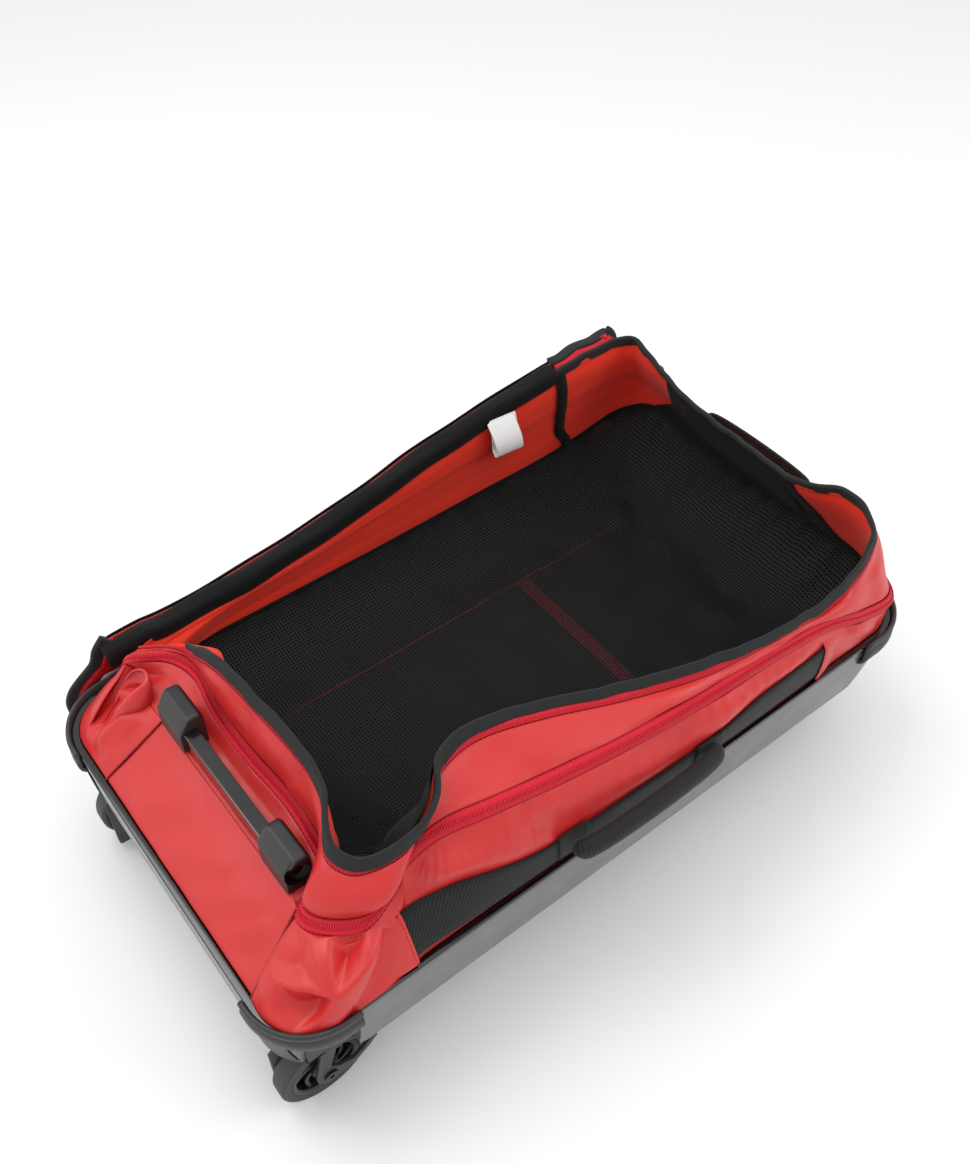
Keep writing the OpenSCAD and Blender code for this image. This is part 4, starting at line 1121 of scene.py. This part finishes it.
def mesh_divider():
    """Open mesh sewn to the walls just above the rim, slack in the middle and pulled up at the near corner."""
    edge = mesh_edge()
    rows, cols = 70, 118
    near = even(around(edge, 8, 21), cols)
    far = even(around(edge, 27, 34)[::-1], cols)
    left = even(around(edge, 34, 42), rows)[::-1]
    right = even(around(edge, 21, 27), rows)
    grid = coons(near, far, left, right)
    gap = np.linalg.norm(grid[:, :, None, :2] - edge[None, None, ::3, :2], axis=3) + 1e-4
    height = (gap ** -3 * edge[::3, 2]).sum(2) / (gap ** -3).sum(2)
    slack = ease(gap.min(2) / 0.075)
    grid[:, :, 2] = mix(height, 0.1625, slack)
    grid = folded(rippled(grid, 0.0014, 0.09, 13, hold=ease(gap.min(2) / 0.03)), MESH_FOLDS)
    obj = make("mesh_divider_net", grid.reshape(-1, 3), grid_faces(rows, cols), M["mesh"],
               uv=grid[:, :, :2].reshape(-1, 2))
    index = np.arange(rows * cols).reshape(rows, cols)
    settled(obj, np.concatenate([index[0], index[-1], index[:, 0], index[:, -1]]), frames=24, cap=0.008)
    place(obj, "bag", "mesh", "mesh_divider")
    mesh_skirt(edge)


def mesh_skirt(edge):
    """Black cloth on the walls up to the divider's edge, and at two places up to the mouth, with its hem."""
    full = np.maximum(ease((STATION - 10.4) / 0.8) * ease((14.8 - STATION) / 0.8),
                      ease((STATION - 22.9) / 0.5) * ease((25.6 - STATION) / 0.6))
    skirt = []
    for j in range(COUNT):
        reach = np.interp(edge[j, 2], INNER[:-3, j, 2], np.arange(len(INNER) - 3))
        skirt.append(sample(INNER[:, j], np.linspace(0, mix(reach, len(INNER) - 1, full[j]), 14)))
    skirt = offset(np.array(skirt).transpose(1, 0, 2), -0.0016, True)
    skirt[-1, :, 2] += 0.006 * full
    skirt = skirt[:, 5 * PER:int(27.4 * PER)]
    place(sheet("mesh_skirt", skirt, M["black_cloth"], 0.0008), "bag", "charcoal_fabric")
    hem = mix(edge, np.array((0, 0, 0.17)), 0.004)
    place(sweep("mesh_hem", hem, rounded(0.0018, 0.008, 0.0008, 2), UP, M["black_cloth"], True), "bag", "mesh")


def care_label():
    """Satin label that is folded once and hangs from the hinge side's wall."""
    lo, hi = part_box("care_label")
    w, top, y = hi.x - lo.x, hi.z + 0.010, hi.y - 0.001
    drop = np.linspace(0, 1, 15)
    front = [(y - 0.0015 - 0.016 * math.sin(t * 1.9), top - 0.038 * t) for t in drop]
    back = [(y + 0.0005 - 0.009 * math.sin(t * 1.6), top - 0.034 * t) for t in drop]
    leaf = front + [(front[-1][0] + 0.003, front[-1][1] - 0.0016)] + back[::-1]
    grid = np.array([[(lo.x - 0.012 + w * (1.15 * u + 0.16 * k / len(leaf)), p[0] - 0.003 * u, p[1])
                      for u in np.linspace(0, 1, 6)] for k, p in enumerate(leaf)])
    label = sheet("care_label_leaf", grid, M["label"], 0.0005, subdivide=1)
    place(label, "bag", "label_white", "care_label")


def seam_tape():
    """Black tape down the hinge side's lining."""
    lo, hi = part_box("seam_tape")
    index = int(np.argmin(np.abs(INNER[8, :, 0] - (lo.x + hi.x) / 2) + (INNER[8, :, 1] < 0)))
    inside_wall = offset(INNER, -0.0014, True)
    y, z = inside_wall[1:34, index, 1:].T
    strip = np.stack([np.column_stack([np.full(len(y), x), y, z]) for x in (hi.x, (lo.x + hi.x) / 2, lo.x)], 1)
    strip[:, :, 0] += 0.020 * ease((0.215 - strip[:, :, 2]) / 0.04) - 0.008
    strip[:3, :, 2] -= 0.006
    place(sheet("seam_tape_strip", strip, M["black_cloth"], 0.0012), "bag", "black_webbing", "seam_tape")


# ---- lid ------------------------------------------------------------------------------------------

HINGE_SIDE = np.array([MOUTH[int(k) % COUNT] for k in np.arange(27.2 * PER, 33.2 * PER)])[::-1]
LID_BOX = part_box("lid_panel")
LID_MID_Y = LID_BOX[0].y + 0.004
# The lid's side edges in X by height, wheel end and far end
WHEEL_EDGE = mm([(9, -296), (16, -314), (40, -322), (90, -330), (104, -338), (112, -346), (130, -351),
                 (150, -353), (165, -353), (177, -347), (187, -334), (195, -322), (203, -317), (212, -314),
                 (222, -305), (230, -292)])
FAR_EDGE = mm([(9, 312), (16, 328), (40, 334), (150, 338), (240, 342), (280, 341), (296, 334), (304, 322)])


def lid_top(x):
    """Height of the hinge line under the folded-over lid."""
    return np.interp(x, HINGE_SIDE[:, 0], HINGE_SIDE[:, 2]) + 0.0005


def lid_grid(y_shift, inset=0.0):
    """Points over the hanging lid: rows go down from the hinge line."""
    rows, cols = 40, 70
    grid = np.zeros((rows, cols, 3))
    for i, v in enumerate(np.linspace(0, 1, rows)):
        for j, u in enumerate(np.linspace(0, 1, cols)):
            # The side edges lean with the height, which depends on X in turn, so both are found in three rounds
            z = 0.120
            for _ in range(3):
                x = mix(np.interp(z, *WHEEL_EDGE.T) + inset, np.interp(z, *FAR_EDGE.T) - inset, u)
                top = lid_top(x) - inset * 0.2
                z = mix(top, 0.009 + inset, v)
            grid[i, j] = (x, LID_MID_Y + y_shift, z)
    return rippled(grid, 0.0016, 0.16, 31, hold=np.ones((rows, 1)))


def border(grid):
    """The open path round a grid's sides and bottom, from the top of its first column to that of its last."""
    return np.concatenate([grid[:, 0], grid[-1, 1:], grid[::-1, -1][1:]])


def lid():
    skin = lid_grid(-0.0022)
    place(sheet("lid_skin", skin, M["red"], 0.0016, side=0.0, subdivide=1), "lid", "red_fabric", "lid_panel")
    inner = lid_grid(0.0024, 0.001)
    place(sheet("lid_lining_cloth", inner, M["black_cloth"], 0.0014, side=0.0, subdivide=1), "lid",
          "charcoal_fabric", "lid_lining")
    middle = lid_grid(0.0, 0.001)
    path = curve(walk(border(middle), 0.008)[0], 2, False)
    inward = unit(np.array((0, LID_MID_Y, 0.15)) - path)
    inward[:, 1] = 0
    edge = sweep("lid_edge_binding", path, rounded(0.0062, 0.0135, 0.0026, 3), unit(inward), M["binding"])
    place(edge, "lid", "charcoal_fabric", "lid_binding")
    outer, inset = lid_grid(-0.0040, 0.007), lid_grid(-0.0040, 0.018)
    strip = np.array([border(outer), mix(border(outer), border(inset), 0.5), border(inset)])
    place(sheet("lid_zip_tape", strip, M["tape"], 0.0012), "lid", "crimson_zip")
    line = mix(strip[0], strip[1], 0.35)
    coil("lid_zip_coil", line, (0.0, -1.0, 0.0), 0.0034, 0.0023, False, "lid")
    corner = lid_grid(-0.0058, 0.020)[7:17, :6]
    place(sheet("lid_corner_patch", corner, M["grey_coat"], 0.0010), "lid", "charcoal_fabric")
    hinge_strip()
    lid_far_corner()
    lid_front()


def hinge_strip():
    """Charcoal strip that is folded over the hinge side's edge and joins the lid to the bag."""
    profile = ((-0.0050, -0.0150), (-0.0058, -0.0060), (-0.0050, 0.0010), (-0.0015, 0.0034), (0.0040, 0.0040),
               (0.0095, 0.0036), (0.0125, 0.0015), (0.0135, -0.0050), (0.0132, -0.0140), (0.0130, -0.0250))
    line = HINGE_SIDE[HINGE_SIDE[:, 0] < 0.252]
    tail = np.array([(-0.312, 0.2085, 0.2150), (-0.298, 0.2075, 0.2190)])
    line = np.concatenate([tail, line[line[:, 0] > -0.285]])
    line[2:, 1] = 0.206
    s = lengths(line)
    grid = np.array([[(x, y + dy + 0.0007 * math.sin(a * 70), z + dz + 0.0010 * math.sin(a * 43 + dy * 300))
                      for (x, y, z), a in zip(line, s)] for dy, dz in profile])
    pieces = [sheet("lid_hinge_strip", grid, M["black_cloth"], 0.0018, side=0.0, subdivide=1)]
    for k, name in ((3, "hinge_stitch_bag"), (6, "hinge_stitch_lid")):
        pieces.append(stitches(name, grid[k], (0.0, 0.3, 1.0), M["black_thread"]))
    for piece in pieces:
        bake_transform(piece)


def lid_far_corner():
    """Past the hinge strip the lid's zip lies open on top of its edge, inside its binding."""
    x = np.linspace(0.246, 0.330, 24)
    wave = 0.0016 * np.sin(x * 140)
    z = lid_top(x) - 0.0030 - 0.002 * ease((x - 0.29) / 0.04)
    tape = [np.column_stack([x, np.full(24, y) + wave, z + dz]) for y, dz in (
        (0.2095, -0.0030), (0.2125, 0.0002), (0.2160, 0.0010), (0.2195, 0.0014))]
    place(sheet("lid_corner_tape", np.array(tape), M["tape"], 0.0012, subdivide=1), "lid", "crimson_zip")
    coil("lid_corner_coil", mix(tape[0], tape[1], 0.5), (0.0, -0.5, 1.0), 0.0034, 0.0023, False, "lid")
    edge = np.column_stack([x, np.full(24, 0.2225) + wave, z + 0.0012])
    place(sweep("lid_corner_binding", edge, rounded(0.0125, 0.0060, 0.0026, 3), UP, M["binding"]), "lid",
          "charcoal_fabric")


def lid_front():
    """The lid's front part, folded back on the hanging part, and the cloth bend that joins them."""
    lo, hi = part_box("lid_front_panel")
    rows, cols, radius = 16, 60, 0.040

    def panel(y, inset):
        grid = np.zeros((rows, cols, 3))
        for i, v in enumerate(np.linspace(0, 1, rows)):
            z = mix(lo.z - 0.002, hi.z - inset, v)
            past = max(0.0, z - (hi.z - radius))
            turned_in = past * (1 - math.sqrt(max(0.0, 1 - (past / radius) ** 2)))
            grid[i, :, 0] = np.linspace(lo.x + inset + turned_in, hi.x - inset - turned_in, cols)
            grid[i, :, 1], grid[i, :, 2] = y, z
        return rippled(grid, 0.0008, 0.15, 33, hold=ease(np.linspace(0, 1, rows) * 4)[:, None])

    y_in, y_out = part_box("lid_front_lining")[0].y, hi.y
    skin = sheet("lid_front_skin", panel(y_out - 0.0008, 0.0), M["red"], 0.0016, side=0.0, subdivide=1)
    place(skin, "lid_front", "red_fabric", "lid_front_panel")
    cloth = sheet("lid_front_cloth", panel(y_in + 0.0012, 0.001), M["black_cloth"], 0.0012, side=0.0,
                  subdivide=1)
    place(cloth, "lid_front", "charcoal_fabric", "lid_front_lining")
    mid = panel((y_in + y_out) / 2, 0.0005)
    path = curve(walk(border(mid), 0.008)[0], 2, False)
    inward = unit(np.array((0, (y_in + y_out) / 2, 0.03)) - path)
    inward[:, 1] = 0
    place(sweep("lid_front_edge", path, rounded(0.0082, 0.0120, 0.0032, 3), unit(inward), M["binding"]),
          "lid_front", "charcoal_fabric")
    y0, y1 = LID_BOX[0].y + 0.001, y_out - 0.0008
    bend = []
    for a in np.linspace(0, math.pi, 11):
        y = mix(y0, y1, (1 - math.cos(a)) / 2)
        z = lo.z - 0.001 - 0.0065 * math.sin(a)
        bend.append([(x, y, z) for x in np.linspace(lo.x + 0.008, hi.x - 0.008, cols)])
    strip = sheet("lid_fold_strip", np.array(bend), M["red"], 0.0014, subdivide=1)
    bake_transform(strip)


# ---- zip pullers ----------------------------------------------------------------------------------

def puller(name, node, body, top, down, out, length):
    """Slider wedge on the zip, and a tab that hangs from it."""
    down, out = unit(np.array(down, float)), unit(np.array(out, float))
    side = np.cross(down, out)
    top = np.array(top, float)
    profile = rounded(0.0095, 0.0022, 0.0009, 2)
    a = np.linspace(0, 1, 14)
    width = 0.55 + 0.45 * ease(a * 3) - 0.15 * ease((a - 0.85) / 0.15)
    path = top + down * (a * length)[:, None]
    tab = sweep(name, path, profile, out, M["plastic"], scale=width)
    bevel(tab, 0.0004, weld=False)
    place(tab, body, "black_webbing", node)
    ring = [top + down * (0.0035 + 0.0036 * math.sin(t)) + side * 0.0030 * math.cos(t) + out * 0.0008
            for t in np.linspace(0, 2 * math.pi, 17)[:-1]]
    loop = sweep(name + "_loop", np.array(ring), ellipse(0.0012, 0.0012, 8), out, M["dark_steel"], True)
    place(loop, body, "steel")
    slider = sweep(name + "_slider", top - out * 0.0012 + side * np.linspace(-0.0055, 0.0055, 5)[:, None],
                   rounded(0.0080, 0.0030, 0.0012, 3), out, M["dark_steel"])
    place(bevel(slider, 0.0005, weld=False), "bag", "steel")


# ---- moulded tray ---------------------------------------------------------------------------------

# Side wall of the tray: height, inset in X, inset in Y and corner radius
TRAY_RINGS = [
    (168.5, 0, 0, 55), (150, 0.7, 1.6, 55), (125, 2.0, 5.0, 54), (98, 4.0, 9.6, 53), (80, 5.6, 13.2, 52),
    (70, 8.0, 17.0, 51), (60, 13.5, 23.5, 49), (48, 23, 34, 47), (34, 36, 48, 44), (22, 48, 60, 42),
    (15, 56, 67, 41), (12, 63, 73, 40)]


def tray_solid(name, shrink, lift):
    rings = [ring_at((ix + shrink) / 1000, (iy + shrink) / 1000, r / 1000, (z + lift * (z < 100)) / 1000, 12,
                     0.008 * max(0.0, (70 - z) / 58)) for z, ix, iy, r in TRAY_RINGS]
    if shrink:
        rings[0][:, 2] += 0.004
    return make(name, np.concatenate(rings), tube_faces(len(rings), len(rings[0])))


def cut(obj, tool):
    """Takes the tool's shape out of an object, and deletes the tool."""
    b = obj.modifiers.new("Cut", "BOOLEAN")
    b.operation = "DIFFERENCE"
    b.object = tool
    b.solver = "EXACT"
    dg = bpy.context.evaluated_depsgraph_get()
    mesh = bpy.data.meshes.new_from_object(obj.evaluated_get(dg))
    obj.modifiers.clear()
    obj.data = mesh
    bpy.data.objects.remove(tool)
    return obj


def block(name, x, y, z):
    """A closed box between two values on each axis, used to cut others."""
    corners = [(a, b, c) for c in z for b in y for a in x]
    faces = [(0, 2, 3, 1), (4, 5, 7, 6), (0, 1, 5, 4), (2, 6, 7, 3), (0, 4, 6, 2), (1, 3, 7, 5)]
    return make(name, corners, faces)


def span(s, a, b):
    """The range of Y between the distances a and b from the middle, on side s."""
    return sorted((s * a, s * b))


def drum(name, centre, radius, y0, y1):
    """A closed cylinder along Y, from y0 up to y1."""
    ring = ellipse(2 * radius, 2 * radius, 64)
    verts = [(centre[0] + x, y, centre[1] + z) for y in (y0, y1) for x, z in ring]
    return make(name, verts, tube_faces(2, len(ring)))


def tray():
    """The shell, with a well for each wheel, a notch for each wheel's housing and the trolley's pocket."""
    lo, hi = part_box("tyre_right")
    x, z = (lo.x + hi.x) / 2, (lo.z + hi.z) / 2
    wall, well_r, well_y = 0.003, 0.051, 0.154
    notch_x, notch_y, notch_z = -0.3055, 0.185, 0.1493
    shell = tray_solid("tray_shell", 0, 0)
    inner = tray_solid("tray_inner", 3.2, 3.2)
    for s in (-1, 1):
        for grow, target in ((wall, inner), (0.0, shell)):
            r, y = well_r + grow, span(s, well_y - grow, 0.3)
            cut(target, drum("well", (x, z), r, *y))
            cut(target, block("well", (x - 0.1, x + r), y, (-0.02, z)))
            cut(target, block("well", (x - 0.1, x), y, (z - 0.001, z + r)))
            y = span(s, notch_y - grow, 0.3)
            cut(target, block("notch", (-0.5, notch_x + grow), y, (-0.02, notch_z + grow)))
    cut(shell, inner)
    bez_lo, bez_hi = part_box("trolley_bezel")
    cut(shell, block("pocket", (bez_lo.x - 0.0003, 0.5), (bez_lo.y, bez_hi.y), (0, bez_hi.z)))
    place(bevel(dressed(shell, "shell"), 0.0008, 2, 40), "bag", "shell", "shell_tray")


# ---- wheels and other hardware --------------------------------------------------------------------

def wheel(side):
    """A wheel with curved spokes, and the finishes of its parts."""
    lo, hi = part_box("hub_" + side)
    c = np.array(((lo.x + hi.x) / 2, (lo.y + hi.y) / 2, (lo.z + hi.z) / 2))
    parts = [
        turned("rim", c, [(0.0290, -0.0080), (0.0305, -0.0092), (0.0338, -0.0092), (0.0340, 0.0092),
                          (0.0305, 0.0092), (0.0290, 0.0080)], M["hub"]),
        turned("boss", c, [(0.0091, -0.0098), (0.0120, -0.0098), (0.0132, -0.0080), (0.0132, 0.0080),
                           (0.0120, 0.0098), (0.0091, 0.0098)], M["hub"]),
    ]
    for k in range(6):
        turn = 2 * math.pi * k / 6
        path = []
        for t in np.linspace(0, 1, 9):
            a, r = turn + 0.95 * ease(t), mix(0.0120, 0.0302, t)
            path.append(c + np.array((r * math.cos(a), 0, r * math.sin(a))))
        section = rounded(0.0044, 0.0130, 0.0014, 3)
        parts.append(sweep("spoke", np.array(path), section, (0.0, 1.0, 0.0), M["hub"]))
    body = "wheel_" + side
    place(join("hub_spoked_" + side, parts), body, "black_plastic", "hub_" + side)
    tyre = turned("tyre_tread_" + side, c, tyre_section(), M["tyre"])
    place(tyre, body, "tyre", "tyre_" + side)


def tyre_section():
    """Rounded tyre with a shallow groove round each shoulder."""
    inner, outer, half = 0.0341, 0.0440, 0.0100
    pts = [(inner, -half + 0.001)]
    for a in np.linspace(-90, 90, 25):
        r = outer - 0.0045 + 0.0045 * math.cos(math.radians(a))
        y = (half - 0.0045) * np.sign(a) + 0.0045 * math.sin(math.radians(a))
        if abs(abs(a) - 45) < 5:
            r -= 0.0006
        pts.append((r, y))
    return pts + [(inner, half - 0.001)]


def turned(name, centre, section, mat):
    """A closed section of (radius, y) turned round the wheel's axis."""
    n, sides = len(section), 72
    verts = [centre + np.array((r * math.cos(a), y, r * math.sin(a)))
             for a in np.linspace(0, 2 * math.pi, sides, endpoint=False) for r, y in section]
    faces = [(i * n + k, i * n + (k + 1) % n, ((i + 1) % sides) * n + (k + 1) % n, ((i + 1) % sides) * n + k)
             for i in range(sides) for k in range(n)]
    return bevel(make(name, verts, faces, mat), 0.0005, 2, 40, weld=False)


def finish_node(name, mat, width=0.0, segments=2):
    """A CAD node keeps its shape: it gets its finish and, where width is given, rounded edges."""
    obj = dressed(NODES[name], mat)
    if width:
        bevel(obj, width, segments)


# The bumper's outline: distance outside the tray and height, in mm
BUMPER = [(1.8, 181.2), (4.0, 181.6), (5.8, 180.6), (6.4, 178.0), (5.8, 175.4), (4.4, 173.8), (4.2, 171.4),
          (5.6, 169.6), (6.6, 166.0), (6.7, 161.5), (5.6, 156.5), (3.2, 152.5), (0.0, 149.4), (-4.0, 147.6),
          (-3.0, 152.0), (1.6, 158.0)]


def corner_path(sx, sy, x_end, y_end, inset=(0.0, 0.0), r=0.055, out=0.0):
    """Points round one corner of the tray, from its side at x_end to its end at y_end."""
    cx, cy = TRAY_L / 2 - inset[0] - r, TRAY_W / 2 - inset[1] - r
    a = np.linspace(0, math.pi / 2, 25)
    arc = np.column_stack([sx * (cx + (r + out) * np.sin(a)), sy * (cy + (r + out) * np.cos(a))])
    first, last = (x_end, sy * (TRAY_W / 2 - inset[1] + out)), (sx * (TRAY_L / 2 - inset[0] + out), y_end)
    return np.vstack([first, mix(np.array(first), arc[0], 0.5), arc, mix(arc[-1], np.array(last), 0.5), last])


def bumper(name, sx, sy, x_end, y_end):
    """Two-step bumper round a corner of the rim."""
    path = corner_path(sx, sy, x_end, y_end)
    path = np.column_stack([path, np.zeros(len(path))])
    turn = -sx * sy
    outline = [(turn * a / 1000, z / 1000) for a, z in BUMPER][::turn]
    return sweep(name, path, outline, UP, M["plastic"])


def wheel_housing(side, s):
    """Bumper, the skin under it, walls and deck round the wheel's well, the mudguard and the axle's boss."""
    lo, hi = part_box("tyre_" + side)
    c = ((lo.x + hi.x) / 2, (lo.z + hi.z) / 2)
    skin = []
    for z, ix, iy, r in TRAY_RINGS[1:4]:
        path = corner_path(-1, s, -0.34, s * 0.147, (ix / 1000, iy / 1000), r / 1000, 0.0016)
        path = even(path[np.abs(path[:, 1]) < 0.1865], 16)
        skin.append(np.column_stack([path, np.full(16, z / 1000)]))
    inner_y, outer_y = 0.1543, 0.1890
    inner = drum("inner_wall", c, 0.0506, *span(s, inner_y, inner_y + 0.0040))
    cut(inner, block("trim", (-0.5, -TRAY_L / 2 + 0.002), (-0.3, 0.3), (-0.1, 0.3)))
    cut(inner, block("trim", (-0.5, 0), (-0.3, 0.3), (-0.1, 0.008)))
    dressed(inner, "plastic")
    a = np.linspace(0, math.pi / 2, 25)
    radial = np.column_stack([np.cos(a), np.zeros(25), np.sin(a)])
    guard = sweep("mudguard", radial * 0.0491 + (c[0], s * 0.1697, c[1]), rounded(0.0306, 0.0030, 0.0010, 2),
                  radial, M["plastic"])
    outer_wall = span(s, outer_y - 0.0037, outer_y)
    walls = [block("outer_wall", (c[0] - 0.016, c[0] + 0.028), outer_wall, (0.0920, 0.1490)),
             block("deck", (c[0] - 0.018, c[0]), span(s, inner_y, outer_y), (0.0916, 0.0946)),
             drum("boss", c, 0.008, *span(s, inner_y + 0.0030, inner_y + 0.0072))]
    for wall in walls:
        bevel(dressed(wall, "plastic"), 0.0008, 2, 40)
    parts = [bumper("corner_bumper", -1, s, -0.3055, s * 0.148),
             sheet("skin", np.array(skin), M["plastic"], 0.0012, side=0.0), inner, guard] + walls
    place(join("wheel_housing_body_" + side, parts), "bag", "black_plastic", "wheel_housing_" + side)


def grip_block(side, s):
    """End block of the grab bar, sloped to the wheel end, with a slot for the bar and a recess for a screw."""
    lo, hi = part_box("bar_block_" + side)
    step = np.array((0.0, 0.0006, 0.0018, 0.0040, 0.0070))
    y = np.concatenate([lo.y + step, [(lo.y + hi.y) / 2], hi.y - step[::-1]])
    size = np.array((0.92, 0.95, 0.98, 1, 1, 1, 1, 1, 0.98, 0.95, 0.92))
    path = np.column_stack([np.full(len(y), (lo.x + hi.x) / 2), y, np.full(len(y), (lo.z + hi.z) / 2)])
    w, h = (hi.x - lo.x) / 2, (hi.z - lo.z) / 2
    outline = [(w, h * 0.70), (w * 0.80, h), (-w * 0.16, h), (-w, h * 0.22), (-w, -h), (w, -h)]
    profile = softened(outline, 0.0024)
    block_mesh = sweep("bar_block_body_" + side, path, profile, UP, M["block"], scale=size)
    outer = hi.y if s > 0 else lo.y
    centre, radius = ((lo.x + hi.x) / 2 - 0.001, (lo.z + hi.z) / 2 + 0.001), 0.0108
    recess = drum("recess", centre, radius, *sorted((outer + s * 0.03, outer - s * 0.0120)))
    pivot = Matrix.Translation((centre[0], outer, centre[1]))
    tilt = Matrix.Rotation(s * math.radians(28), 4, "Z") @ Matrix.Rotation(s * math.radians(30), 4, "X")
    recess.data.transform(pivot @ tilt @ pivot.inverted())
    cut(block_mesh, recess)
    bar_lo, bar_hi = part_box("grab_bar")
    inner = lo.y if s > 0 else hi.y
    cut(block_mesh, block("slot", (bar_lo.x, bar_hi.x), sorted((inner - s * 0.01, inner + s * 0.012)),
                          (bar_lo.z, bar_hi.z)))
    # Faces that point up or toward the far end, and the recess's inside, take the near-black plastic: painted
    # shade where the light falls away and in the recess
    dressed(block_mesh, "block", "block_painted_shade")
    mouth, out = Vector((centre[0], outer, centre[1])), tilt @ Vector((0, s, 0))
    for polygon in block_mesh.data.polygons:
        away = polygon.center - mouth
        in_recess = (away - out * away.dot(out)).length < radius + 0.0004
        polygon.material_index = int(in_recess or polygon.normal.x > -0.3 and polygon.normal.z > 0.3
                                     or polygon.normal.x > 0.7)
    place(bevel(block_mesh, 0.0007, 2, 35), "bag", "black_plastic", "bar_block_" + side)


def hardware():
    for side, s in (("right", -1), ("left", 1)):
        wheel(side)
        wheel_housing(side, s)
        finish_node("wheel_cover_" + side, "plastic", 0.0010, 3)
        guard = bumper("far_bumper_" + side, 1, s, 0.2985, s * 0.148)
        place(guard, "bag", "black_plastic", "corner_guard_" + side)
        finish_node("axle_" + side, "steel")
        finish_node("bearings_" + side, "steel", 0.0004)
        grip_block(side, s)
        for stage in ("outer", "mid", "inner"):
            finish_node(f"{stage}_tube_{side}", "anodised", 0.0003)
    for name, mat, width in (
            ("rim_trim", "gloss", 0.0014), ("axle_screws", "dark_steel", 0.0005),
            ("floor_feet", "rubber", 0.0025), ("foot_screws", "steel", 0.0004),
            ("grab_bar", "gloss", 0.0014), ("bar_screws", "dark_steel", 0.0005),
            ("bar_backing_plate", "steel", 0.0004), ("tube_bracket", "plastic", 0.0008),
            ("trolley_bezel", "plastic", 0.0015), ("trolley_screws", "steel", 0.0004),
            ("trolley_grip", "plastic", 0.0020), ("grip_button", "gloss", 0.0010),
            ("button_spring", "steel", 0.0)):
        finish_node(name, mat, width, 3)


# ---- floor, light and camera ----------------------------------------------------------------------

# The photograph's view, fitted to the tray's rim: place in metres, direction and focal length in mm
CAMERA_AT, CAMERA_AIM, CAMERA_LENS = (-0.4717, -0.5842, 1.1013), (0.4174, 0.5362, -0.7337), 37.25


def stage_and_camera():
    scene = bpy.context.scene
    scene.view_settings.view_transform = "Standard"
    world = bpy.data.worlds.new("studio")
    scene.world = world
    world.use_nodes = True
    world.node_tree.nodes["Background"].inputs["Color"].default_value = (1, 1, 1, 1)
    world.node_tree.nodes["Background"].inputs["Strength"].default_value = 0.76
    floor_mat = Finish("pale_floor", (0.93, 0.93, 0.93), 0.9, spec=0.1, uv=False)
    floor_mat.tint(floor_mat.noise(2, 2), (0.95, 0.95, 0.95), 0.3)
    reach = 12.0
    corners = [(x * reach, y * reach, 0) for x, y in ((-1, -1), (1, -1), (1, 1), (-1, 1))]
    make("floor", corners, [(0, 1, 2, 3)], floor_mat.mat)
    for name, spot, power, size, flat, target in (
            ("key", (-0.5, 0.7, 2.3), 18, 1.2, 1.0, (0, 0, 0.1)),
            ("fill", (1.6, -1.5, 1.6), 14, 1.8, 0.25, (0, 0, 0.1)),
            ("back", (-1.9, 1.0, 1.6), 8, 1.6, 0.3, (0, 0, 0.1)),
            ("top", (0.2, -0.3, 2.6), 6, 1.2, 1.0, (0, 0, 0))):
        data = bpy.data.lights.new(name, "AREA")
        data.energy, data.shape, data.size, data.size_y = power, "RECTANGLE", size, size * flat
        lamp = bpy.data.objects.new(name, data)
        lamp.location = spot
        lamp.rotation_euler = (Vector(target) - Vector(spot)).to_track_quat("-Z", "Y").to_euler()
        scene.collection.objects.link(lamp)
    data = bpy.data.cameras.new("camera")
    data.lens, data.sensor_width = CAMERA_LENS, 36.0
    camera = bpy.data.objects.new("camera", data)
    camera.location = CAMERA_AT
    camera.rotation_euler = Vector(CAMERA_AIM).to_track_quat("-Z", "Y").to_euler()
    scene.collection.objects.link(camera)
    scene.camera = camera


stage_and_camera()
fabric_walls()
seam_welt("panel_seam_near", PANEL_LOW[1], PANEL_HIGH[1])
seam_welt("panel_seam_left", PANEL_LOW[0], PANEL_HIGH[0])
tape_and_teeth()
mouth_binding()
lining()
near_side_trims()
side_handle()
handle_tabs()
far_handle()
inside()
lid()
puller("main_zip_pull", "main_zip_puller", "main_puller", top=(0.3465, 0.150, 0.284),
       down=(0.423, 0, -0.906), out=(0.906, 0, 0.423), length=0.030)
puller("expander_zip_pull", "expander_zip_puller", "expander_puller", top=(0.3755, -0.110, 0.222),
       down=(0, 0, -1), out=(1, 0, 0), length=0.026)
tray()
hardware()
